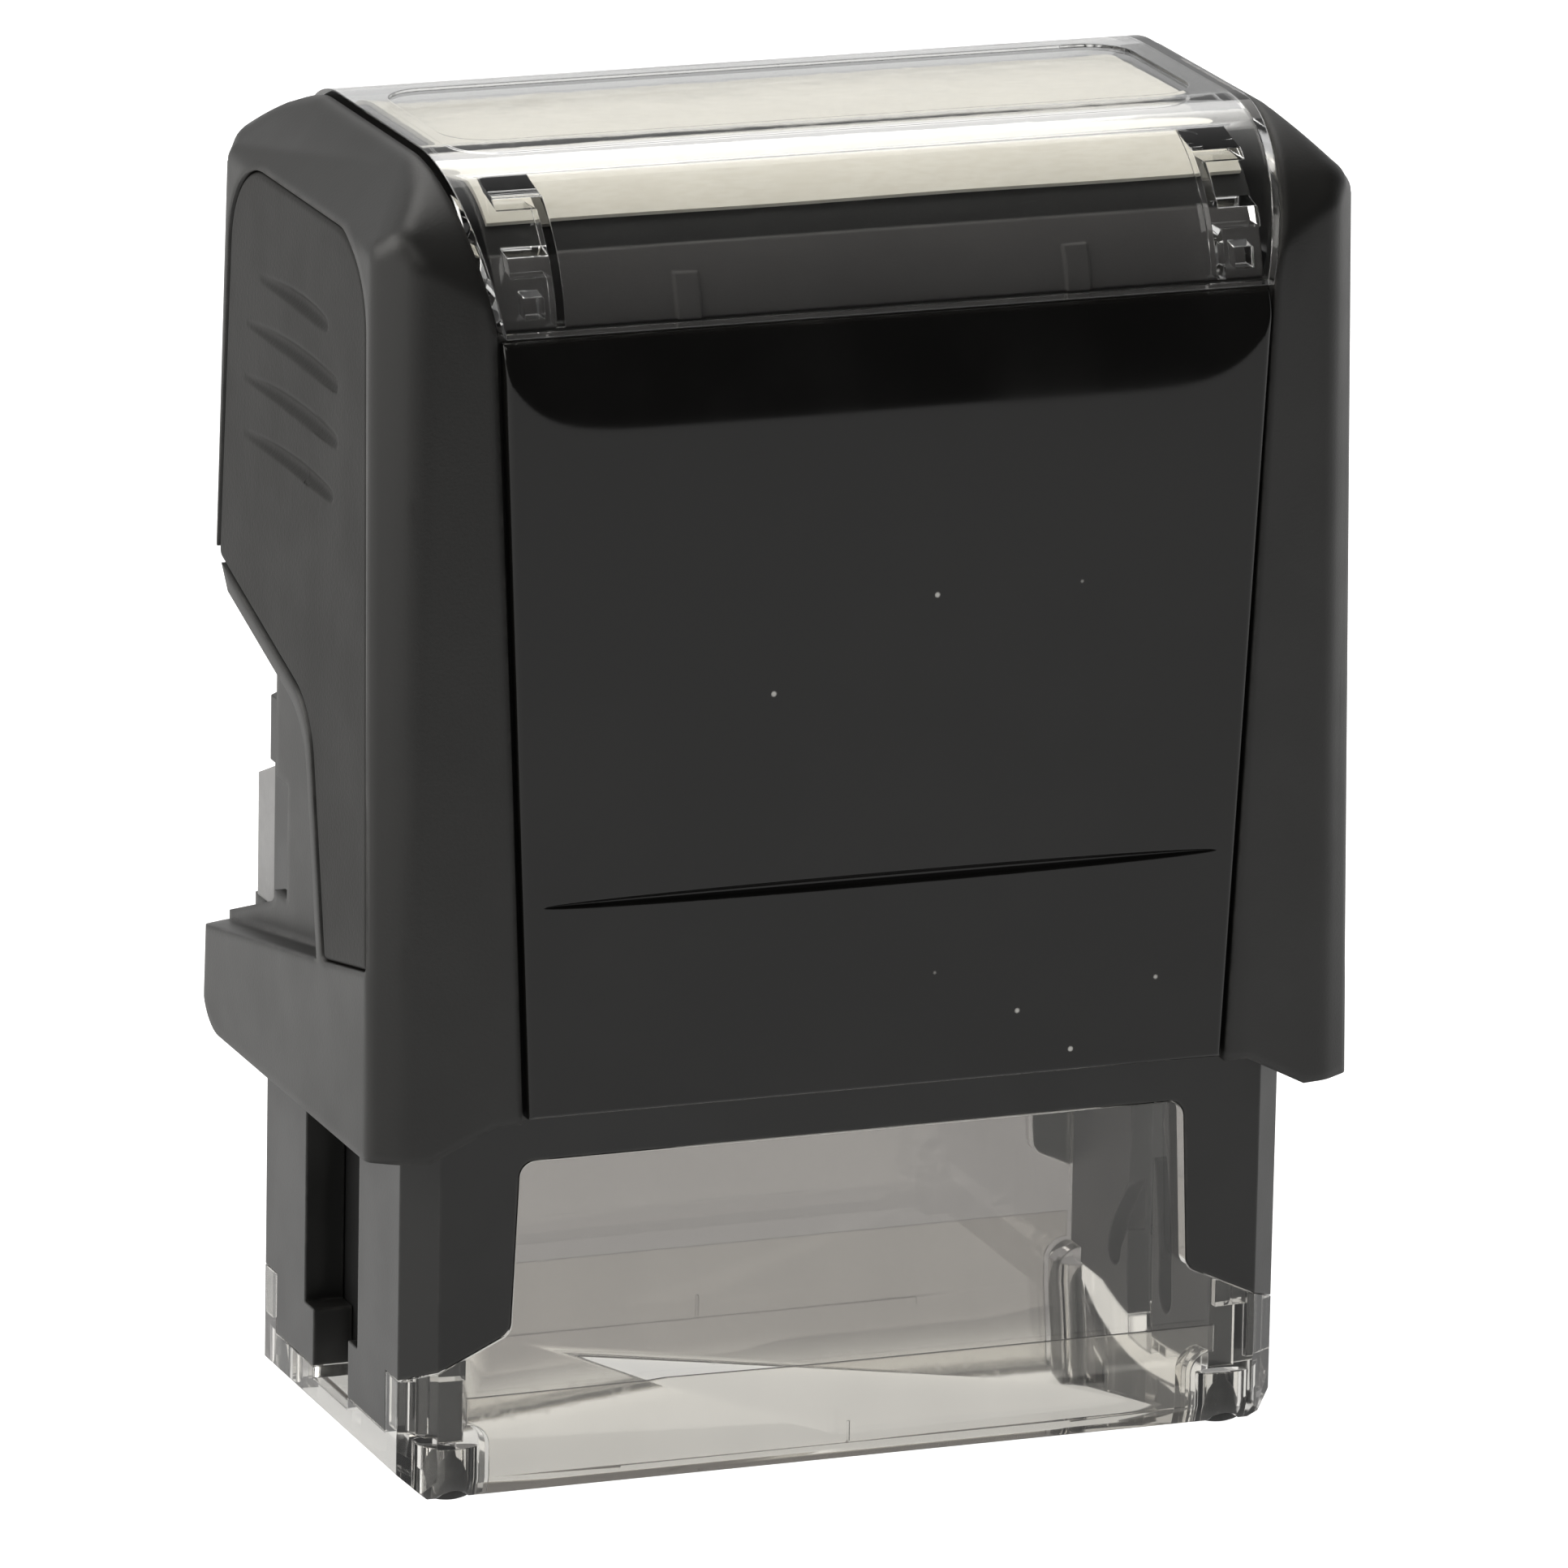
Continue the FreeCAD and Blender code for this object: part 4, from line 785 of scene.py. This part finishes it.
def rounded_block(low: Point, high: Point, radius: float) -> tuple[np.ndarray, bool]:
    """A block with rounded edges: a globe's grid with each eighth pushed out to a corner.

    A point is sign(n) x (half size - radius) + radius x n for the globe's direction n.

    Args:
        low: Lowest corner.
        high: Highest corner.
        radius: Radius of the edges.

    Returns:
        The closed grid.
    """
    quarter = np.linspace(0, math.pi / 2, 6)
    rise = np.concatenate([[-math.pi / 2], quarter - math.pi / 2, quarter, [math.pi / 2]])[:, None]
    turn = np.concatenate([quarter + k * math.pi / 2 for k in range(4)])[None]
    side_x = np.repeat([1.0, -1.0, -1.0, 1.0], 6)[None]
    side_y = np.repeat([1.0, 1.0, -1.0, -1.0], 6)[None]
    side_z = np.where(np.arange(len(rise)) < len(rise) // 2, -1.0, 1.0)[:, None]
    low_corner, high_corner = np.array(low), np.array(high)
    middle = (low_corner + high_corner) / 2
    flat = (high_corner - low_corner) / 2 - radius
    spread = np.ones(len(rise))[:, None]
    spread[[0, -1]] = 0
    x = spread * side_x * flat[0] + radius * np.cos(rise) * np.cos(turn)
    y = spread * side_y * flat[1] + radius * np.cos(rise) * np.sin(turn)
    z = side_z * flat[2] + radius * np.sin(rise) + 0 * turn
    grid = np.stack([x, y, z], axis=-1)
    return grid + middle, True


# ---- pieces -----------------------------------------------------------------------------


def settle(piece: bpy.types.Object, finish: Finish, slot: str, body: Body, *nodes: str) -> bpy.types.Object:
    """Gives a piece its finish, its body and the CAD nodes that it stands for.

    Args:
        piece: The piece.
        finish: Its finish.
        slot: The record's material slot; not used.
        body: The body that it rides on.
        *nodes: The CAD nodes that it replaces.

    Returns:
        The piece.
    """
    piece.data.materials.clear()
    piece.data.materials.append(Paints.get(finish))
    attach(piece, body.value)
    if nodes:
        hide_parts(*nodes)
    LOG.info("%s: %d faces on %s", piece.name, len(piece.data.polygons), body.value)
    return piece


@dataclass(frozen=True)
class Eased:
    """A CAD node whose shape is right, copied with its edges rounded in the mesh."""

    node: str
    finish: Finish
    slot: str
    body: Body
    radius: float = 0.15 * MM
    segments: int = 2
    angle: float = math.radians(38)
    flat: float = math.radians(0.4)

    def build(self) -> bpy.types.Object:
        """Copies the node, joins its triangles into whole faces and rounds its edges.

        Returns:
            The finished piece.
        """
        source = frame["nodes"][self.node].data
        source.calc_loop_triangles()
        points = np.empty(3 * len(source.vertices))
        source.vertices.foreach_get("co", points)
        corners = np.empty(3 * len(source.loop_triangles), int)
        source.loop_triangles.foreach_get("vertices", corners)
        name = self.node + "_finished"
        mesh = bpy.data.meshes.new(name)
        mesh.from_pydata(points.reshape(-1, 3).tolist(), [], corners.reshape(-1, 3).tolist())
        bm = bmesh.new()
        bm.from_mesh(mesh)
        bmesh.ops.remove_doubles(bm, verts=bm.verts, dist=2e-6)
        bmesh.ops.dissolve_degenerate(bm, edges=bm.edges, dist=1e-6)
        bmesh.ops.dissolve_limit(bm, angle_limit=self.flat, verts=bm.verts, edges=bm.edges)
        bm.to_mesh(mesh)
        bm.free()
        mesh.polygons.foreach_set("use_smooth", np.ones(len(mesh.polygons), bool))
        mesh.set_sharp_from_angle(angle=self.angle)
        piece = bpy.data.objects.new(name, mesh)
        bpy.context.scene.collection.objects.link(piece)
        bevel = piece.modifiers.new("eased_edges", "BEVEL")
        bevel.width = self.radius
        bevel.segments = self.segments
        bevel.limit_method = "ANGLE"
        bevel.angle_limit = self.angle
        bevel.harden_normals = True
        return settle(piece, self.finish, self.slot, self.body, self.node)


@dataclass(frozen=True)
class Cap:
    """The cap: its shell, side grips, gloss panels, tray and card."""

    grip_corners: tuple[tuple[float, float], ...] = (
        (-13.0, 30.4), (-6.1, 29.1), (-3.2, 42.2), (12.2, 46.8), (10.9, 69.3), (-10.9, 69.3))
    grip_radii: tuple[float, ...] = (0.4, 0.4, 4.5, 0.6, 5.0, 5.0)
    grip_middle: tuple[float, float] = (-1.5, 55.0)
    grip_back_x: float = 27.1 * MM
    grip_rim: float = 0.35 * MM
    grip_step: float = 0.2 * MM
    grip_rings: int = 120
    grip_low_x: float = 28.1
    grip_lean: float = 0.4
    lean_height: float = 49.2
    low_z: float = 20.1
    grooves: tuple[tuple[float, float, float], ...] = (
        (63.6, -5.0, 6.1), (60.7, -6.8, 8.1), (57.7, -6.9, 8.4), (54.6, -6.3, 8.3))
    groove_half: float = 0.62
    groove_depth: float = 0.5
    panel_low_z: float = 22.3
    panel_top_z: float = 64.7
    panel_half_low: float = 19.8
    panel_half_top: float = 21.7
    panel_face: float = 16.0
    panel_back: float = 14.95
    panel_rim: float = 0.35
    panel_rows: int = 150
    panel_columns: int = 151
    crease_rows: int = 45
    bend_height: float = 5.2
    bend: float = 0.62
    crease_z: float = 34.0
    crease_half: float = 19.1
    crease_height: float = 0.36
    crease_depth: float = 0.3
    card_thick: float = 0.24 * MM
    card_slack: float = 0.02 * MM
    card_radius: float = 8.0 * MM
    card_end: float = 0.985
    card_wave: float = MM / 0.31
    card_rows: int = 60

    def grip_face(self, y: np.ndarray, z: np.ndarray) -> np.ndarray:
        """Height of a grip's face: a leaning plane less four slim scallops.

        A scallop is depth x swell x (1 - (dz / half width)^2)^1.2, where dz is measured from
        a line that bows up by sin(pi x s), and the half width and the depth follow
        swell = 1.25 x s^0.75 x (1 - s)^0.35 for the share s of the way to its front.

        Args:
            y: Places along Y, in metres.
            z: Places along Z, in metres.

        Returns:
            The face's distance from the middle plane, in metres.
        """
        face = self.grip_low_x - self.grip_lean * (z / MM - self.low_z) / self.lean_height
        for middle, front, back in self.grooves:
            s = np.clip((back - y / MM) / (back - front), 0, 1)
            swell = 1.25 * s**0.75 * (1 - s) ** 0.35
            offset = (z / MM - middle - 0.25 * np.sin(math.pi * s)) / (self.groove_half * (0.25 + swell))
            face = face - self.groove_depth * swell * np.clip(1 - offset**2, 0, 1) ** 1.2
        return face * MM

    def panel_grid(self) -> np.ndarray:
        """The front panel's points: its face on a grid, folded round its rim to its back.

        The face is flat below and bends back by bend x t^1.6 for the share t of the bend's
        height, which shrinks by 0.7 x (x / half width)^12 towards the panel's sides. The slim
        groove is depth x swell^0.6 x (1 - (dz / half height(x))^2), where swell is a half
        ellipse along the groove and the half height follows it. Within a rim's radius of
        the outline, at a distance d, the face drops by r - sqrt(r^2 - (r - d)^2).

        Returns:
            Rows x columns x 3, in metres.
        """
        rise = (self.panel_half_top - self.panel_half_low) / (self.panel_top_z - self.panel_low_z)
        rim = self.panel_rim
        ends = rim * (1 - np.cos(np.linspace(0, math.pi / 2, 6)))
        span = np.linspace(self.panel_low_z + rim, self.panel_top_z - rim, self.panel_rows)
        near = self.crease_z + np.linspace(-1.1, 1.1, self.crease_rows) * self.crease_height
        z = np.unique(np.concatenate([
            self.panel_low_z + ends, span, near, self.panel_top_z - ends[::-1]]).round(4))
        half = (self.panel_half_low + rise * (z - self.panel_low_z))[:, None]
        share = np.sin(np.linspace(-1, 1, self.panel_columns) * math.pi / 2)[None, 1:-1]
        middle = share * (half - rim)
        x = np.concatenate([ends - half, middle, (half - ends)[:, ::-1]], axis=1)
        z = np.broadcast_to(z[:, None], x.shape)
        height = self.bend_height * (1 - 0.7 * np.abs(x / half) ** 12)
        over = np.clip((z - (self.panel_top_z - height)) / height, 0, 1)
        swell = np.sqrt(np.clip(1 - (x / self.crease_half) ** 2, 0, 1))
        tall = self.crease_height * np.maximum(swell, 1e-3)
        groove = self.crease_depth * swell**0.6 * np.clip(1 - ((z - self.crease_z) / tall) ** 2, 0, 1)
        depth = -self.panel_face + self.bend * over**1.6 + groove
        edge = np.minimum(half - np.abs(x), np.minimum(z - self.panel_low_z, self.panel_top_z - z))
        inside = np.clip(rim - edge, 0, rim)
        depth = depth + rim - np.sqrt(rim**2 - inside**2)
        face = np.stack([x, depth, z], axis=-1)
        back = face[:, [0, -1]].copy()
        back[..., 1] = -self.panel_back
        grid = np.concatenate([back[:, :1], face, back[:, 1:]], axis=1)
        foot, head = grid[:1].copy(), grid[-1:].copy()
        foot[..., 1] = head[..., 1] = -self.panel_back
        return np.concatenate([foot, grid, head, foot]) * MM

    def build(self) -> None:
        """Builds the cap's pieces."""
        Eased("cap_shell", Paints.cap, "cap_black", Body.CAP, 0.3 * MM, 3).build()
        Eased("yoke", Paints.inner, "frame_black", Body.CAP).build()
        Eased("card_tray", Paints.tray, "tray_black", Body.CAP, 0.1 * MM).build()
        path = outline(
            [(y * MM, z * MM) for y, z in self.grip_corners],
            [r * MM for r in self.grip_radii], self.grip_step)
        middle = (self.grip_middle[0] * MM, self.grip_middle[1] * MM)
        for node, side in (("grip_left", Side.LEFT), ("grip_right", Side.RIGHT)):
            plate = Plate(
                path, self.grip_face, self.grip_back_x, self.grip_rim, middle, self.grip_rings)
            piece = plate.build(node + "_textured", side)
            settle(piece, Paints.grip, "grip_grey", Body.CAP, node)
        piece = surface("front_panel_gloss", [(self.panel_grid(), False)])
        settle(piece, Paints.panel, "gloss_black", Body.CAP, "front_panel")
        Eased("rear_panel", Paints.panel, "gloss_black", Body.CAP, 0.25 * MM, 3).build()
        self.card()

    def card(self) -> None:
        """The paper card: a thin sheet bent over the tray, a little wavy along its width.

        Its side view is a flat top with an arc at each end, carried along X, with the
        underside one thickness below.
        """
        low, high = (np.array(p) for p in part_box("index_card"))
        thick, slack, radius = self.card_thick, self.card_slack, self.card_radius
        drop = math.acos(1 - (high[2] - low[2]) / radius)
        edge = high[1] - math.sin(drop) * radius
        turn = np.linspace(0, drop * self.card_end, 24)
        arc = np.stack([np.sin(turn) * radius, (np.cos(turn) - 1) * radius], axis=-1)
        half = np.concatenate([[[0.0, 0.0]], arc + np.array([edge, 0])])
        side = np.concatenate([half[::-1] * np.array([-1, 1]), half[1:]])
        along = np.gradient(side, axis=0)
        normal = np.stack([along[:, 1], -along[:, 0]], axis=-1)
        normal = normal / np.linalg.norm(normal, axis=1, keepdims=True)
        loop = np.concatenate([side, (side + normal * thick)[::-1]])
        x = np.linspace(low[0], high[0], self.card_rows)
        wave = slack * (np.sin(x / self.card_wave) - 1)
        shape = (self.card_rows, len(loop))
        grid = np.stack(
            [np.broadcast_to(x[:, None], shape),
             np.broadcast_to(loop[None, :, 0], shape),
             high[2] + loop[None, :, 1] + wave[:, None]], axis=-1)
        centre = grid.mean(axis=1, keepdims=True) * np.ones_like(grid)
        closed = np.concatenate([centre[:1], grid, centre[-1:]])
        piece = surface("index_card_paper", [(closed, True)])
        settle(piece, Paints.card, "card_cream", Body.CAP, "index_card")


@dataclass(frozen=True)
class Base:
    """The base: frame, guides, clear foot, rubber feet and return spring."""

    dome: tuple[tuple[float, float], ...] = (
        (0.0, 0.0), (1.0, 0.0), (1.3, 0.14), (1.48, 0.6), (1.48, 1.1), (1.38, 1.6), (1.12, 2.08),
        (0.76, 2.4), (0.46, 2.54), (0.36, 2.9), (0.22, 3.06), (0.0, 3.1))
    foot_radius: float = 1.5 * MM
    wire: float = 0.45 * MM
    coil: float = 4.9 * MM
    turns: float = 8.0
    dead_turns: float = 1.1
    per_turn: int = 40
    stroke: float = 18.5 * MM

    def build(self) -> None:
        """Builds the base's pieces."""
        Eased("base_frame", Paints.frame, "frame_black", Body.BASE, 0.15 * MM).build()
        for node in ("guide_plate_left", "guide_plate_right"):
            Eased(node, Paints.inner, "guide_black", Body.BASE, 0.08 * MM).build()
        Eased("clear_foot", Paints.foot, "clear_plastic", Body.BASE, 0.2 * MM, 3).build()
        self.feet()
        self.spring()

    def feet(self) -> None:
        """Four domed feet, each its profile turned about its own axis."""
        _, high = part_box("rubber_feet")
        x, y = high[0] - self.foot_radius, high[1] - self.foot_radius
        centres = np.array([(x, y, 0), (-x, y, 0), (-x, -y, 0), (x, -y, 0)])
        profile = np.array(self.dome) * MM
        piece = surface("rubber_feet_domed", revolved(profile, centres, 40))
        settle(piece, Paints.rubber, "dark_rubber", Body.BASE, "rubber_feet")

    def spring(self) -> None:
        """The return spring, with closed end turns: the rise follows a ramp, clipped at its ends."""
        low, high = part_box("return_spring")
        count = int((self.turns + 2 * self.dead_turns) * self.per_turn)
        share = np.linspace(0, 1, count)
        turn = 2 * math.pi * (self.turns + 2 * self.dead_turns) * share
        dead = self.dead_turns / (self.turns + 2 * self.dead_turns)
        rise = np.clip((share - dead) / (1 - 2 * dead), 0, 1)
        pitch = 2.05 * self.wire * self.dead_turns
        height = high[2] - low[2] - 2 * self.wire - 2 * pitch
        z = low[2] + self.wire + height * rise
        z = z + pitch * (np.clip(share / dead, 0, 1) + np.clip((share - 1 + dead) / dead, 0, 1))
        path = np.stack([self.coil * np.cos(turn), self.coil * np.sin(turn), z], axis=-1)
        radius = np.full(count, self.wire)
        radius[[0, -1]] = 0
        piece = surface("return_spring_coil", [tube(path, radius, 14)])
        settle(piece, Paints.spring, "spring_steel", Body.BASE, "return_spring")
        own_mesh(piece)


@dataclass(frozen=True)
class Die:
    """The turning die: holder, pins, cushion and text plate."""

    ease: float = 0.12 * MM
    cushion_round: float = 0.15 * MM
    print_ease: float = 0.06 * MM
    inked: float = 0.2 * MM

    def build(self) -> None:
        """Builds the die's pieces."""
        Eased("die_holder", Paints.holder, "holder_grey", Body.DIE, self.ease).build()
        for node in ("axle_pin_left", "axle_pin_right"):
            Eased(node, Paints.pin, "pin_steel", Body.DIE, self.ease).build()
        low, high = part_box("die_cushion")
        block = rounded_block(tuple(low), tuple(high), self.cushion_round)
        piece = surface("die_cushion_foam", [block])
        settle(piece, Paints.foam, "foam", Body.DIE, "die_cushion")
        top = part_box("text_plate")[1][2]
        rubber = Soft(
            "print_rubber", (0.3, 0.27, 0.25), (0.24, 0.21, 0.2), 0.7, 0.15 * MM, 0.01 * MM,
            ink_above=top - self.inked)
        Eased("text_plate", rubber, "print_rubber", Body.DIE, self.print_ease).build()


@dataclass(frozen=True)
class Cartridge:
    """The ink cartridge and its pad."""

    ease: float = 0.25 * MM
    pad_round: float = 0.4 * MM

    def build(self) -> None:
        """Builds the cartridge's pieces."""
        Eased(
            "cartridge_tray", Paints.cartridge, "cartridge_grey", Body.CARTRIDGE, self.ease, 3).build()
        low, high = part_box("ink_pad")
        block = rounded_block(tuple(low), tuple(high), self.pad_round)
        piece = surface("ink_pad_felt", [block])
        settle(piece, Paints.felt, "ink_felt", Body.CARTRIDGE, "ink_pad")


@dataclass(frozen=True)
class Fittings:
    """The index window and the lock button."""

    window_ease: float = 0.12 * MM
    button_ease: float = 0.3 * MM

    def build(self) -> None:
        """Builds both pieces."""
        Eased("index_window", Paints.window, "window_clear", Body.WINDOW, self.window_ease).build()
        Eased("lock_button", Paints.button, "button_grey", Body.LOCK, self.button_ease, 3).build()


# ---- scene ------------------------------------------------------------------------------


@dataclass(frozen=True)
class Studio:
    """A pale floor, soft light and the camera."""

    azimuth: float = math.radians(-21.05)
    elevation: float = math.radians(15.69)
    roll: float = math.radians(1.10)
    distance: float = 0.7378
    aim: Point = (-0.02288, -0.06052, 0.0531)
    lens: float = 341.3
    floor: Colour = (0.42, 0.42, 0.415)
    floor_reach: Point = (2.5, 0.3, 4.0)
    floor_glow: float = 0.58
    floor_through: float = 0.5
    floor_seen: float = 1.05
    sky_from: float = -0.2
    sky_to: float = 0.4
    sky_front: float = 0.06
    sky_back: float = 0.62
    lamp_aim: Point = (0, 0, 0.035)
    lamp_tint: Colour = (1.0, 0.98, 0.945)
    lamps: tuple[tuple[str, Point, float, float], ...] = (
        ("side_left", (-1.0, 0.1, 0.6), 1.1, 11.0),
        ("top", (0.0, 0.3, 1.35), 0.8, 5.0),
        ("back", (0.25, 0.95, 1.1), 0.9, 2.4),
        ("high_left", (-0.6, -0.75, 0.95), 0.5, 1.6),
    )

    def build(self) -> None:
        """Builds the floor, the lamps, the sky and the camera."""
        self.make_floor()
        self.make_lamps()
        self.make_sky()
        self.make_camera()

    def make_floor(self) -> None:
        """A pale floor lit from below like a light table.

        Its glow is brightest where seen directly, and less where seen through clear pieces.
        """
        side, front, back = self.floor_reach
        mesh = bpy.data.meshes.new("floor")
        corners = [(-side, -front, 0), (side, -front, 0), (side, back, 0), (-side, back, 0)]
        mesh.from_pydata(corners, [], [(0, 1, 2, 3)])
        floor = bpy.data.objects.new("floor", mesh)
        bpy.context.scene.collection.objects.link(floor)
        paint = bpy.data.materials.new("floor_pale")
        paint.use_nodes = True
        shader = paint.node_tree.nodes["Principled BSDF"]
        shader.inputs["Base Color"].default_value = (*self.floor, 1)
        shader.inputs["Roughness"].default_value = 0.9
        shader.inputs["Specular IOR Level"].default_value = 0.1
        shader.inputs["Emission Color"].default_value = (1, 1, 1, 1)
        tree = paint.node_tree
        path = tree.nodes.new("ShaderNodeLightPath")
        through = tree.nodes.new("ShaderNodeMapRange")
        through.inputs["To Min"].default_value = self.floor_glow
        through.inputs["To Max"].default_value = self.floor_through
        tree.links.new(path.outputs["Is Transmission Ray"], through.inputs["Value"])
        seen = tree.nodes.new("ShaderNodeMapRange")
        seen.inputs["To Max"].default_value = self.floor_seen
        tree.links.new(path.outputs["Is Camera Ray"], seen.inputs["Value"])
        tree.links.new(through.outputs["Result"], seen.inputs["To Min"])
        tree.links.new(seen.outputs["Result"], shader.inputs["Emission Strength"])
        mesh.materials.append(paint)

    def make_lamps(self) -> None:
        """Large soft lamps that point at the stamp's middle."""
        middle = Vector(self.lamp_aim)
        for name, place, size, power in self.lamps:
            light = bpy.data.lights.new(name, "AREA")
            light.shape = "DISK"
            light.size = size
            light.energy = power
            light.color = self.lamp_tint
            lamp = bpy.data.objects.new(name, light)
            lamp.location = place
            lamp.rotation_euler = (middle - Vector(place)).to_track_quat("-Z", "Y").to_euler()
            bpy.context.scene.collection.objects.link(lamp)

    def make_sky(self) -> None:
        """A sky that is dark in front, where the gloss faces look, and plain behind the stamp."""
        world = bpy.data.worlds.new("studio")
        bpy.context.scene.world = world
        world.use_nodes = True
        tree = world.node_tree
        tree.nodes.clear()
        output = tree.nodes.new("ShaderNodeOutputWorld")
        sky = tree.nodes.new("ShaderNodeBackground")
        place = tree.nodes.new("ShaderNodeTexCoord")
        split = tree.nodes.new("ShaderNodeSeparateXYZ")
        ramp = tree.nodes.new("ShaderNodeMapRange")
        ramp.inputs["From Min"].default_value = self.sky_from
        ramp.inputs["From Max"].default_value = self.sky_to
        ramp.inputs["To Min"].default_value = self.sky_front
        ramp.inputs["To Max"].default_value = self.sky_back
        tree.links.new(place.outputs["Generated"], split.inputs[0])
        tree.links.new(split.outputs["Y"], ramp.inputs["Value"])
        tree.links.new(ramp.outputs["Result"], sky.inputs["Color"])
        plain = tree.nodes.new("ShaderNodeBackground")
        plain.inputs["Color"].default_value = (1, 1, 1, 1)
        seen = tree.nodes.new("ShaderNodeMixShader")
        path = tree.nodes.new("ShaderNodeLightPath")
        tree.links.new(path.outputs["Is Camera Ray"], seen.inputs[0])
        tree.links.new(sky.outputs["Background"], seen.inputs[1])
        tree.links.new(plain.outputs["Background"], seen.inputs[2])
        tree.links.new(seen.outputs["Shader"], output.inputs["Surface"])

    def make_camera(self) -> None:
        """The camera, placed by its azimuth, elevation and roll about its aim."""
        a, e, r = self.azimuth, self.elevation, self.roll
        back = Vector((math.sin(a) * math.cos(e), -math.cos(a) * math.cos(e), math.sin(e)))
        right = Vector((math.cos(a), math.sin(a), 0))
        up = back.cross(right)
        turned_right = right * math.cos(r) + up * math.sin(r)
        turned_up = up * math.cos(r) - right * math.sin(r)
        data = bpy.data.cameras.new("camera")
        data.lens = self.lens
        data.sensor_width = 36.0
        data.clip_start = 0.01
        camera = bpy.data.objects.new("camera", data)
        turn = Matrix((turned_right, turned_up, back)).transposed().to_4x4()
        camera.matrix_world = Matrix.Translation(Vector(self.aim) + back * self.distance) @ turn
        bpy.context.scene.collection.objects.link(camera)
        bpy.context.scene.camera = camera


def main() -> None:
    """Builds the stamp piece by piece, then the studio."""
    logging.basicConfig(level=logging.INFO, format="%(name)s %(message)s")
    for assembly in (Cap(), Base(), Die(), Cartridge(), Fittings(), Studio()):
        LOG.info("building %s", type(assembly).__name__)
        assembly.build()
    bpy.context.scene.view_settings.view_transform = "Standard"


if __name__ == "__main__":
    main()
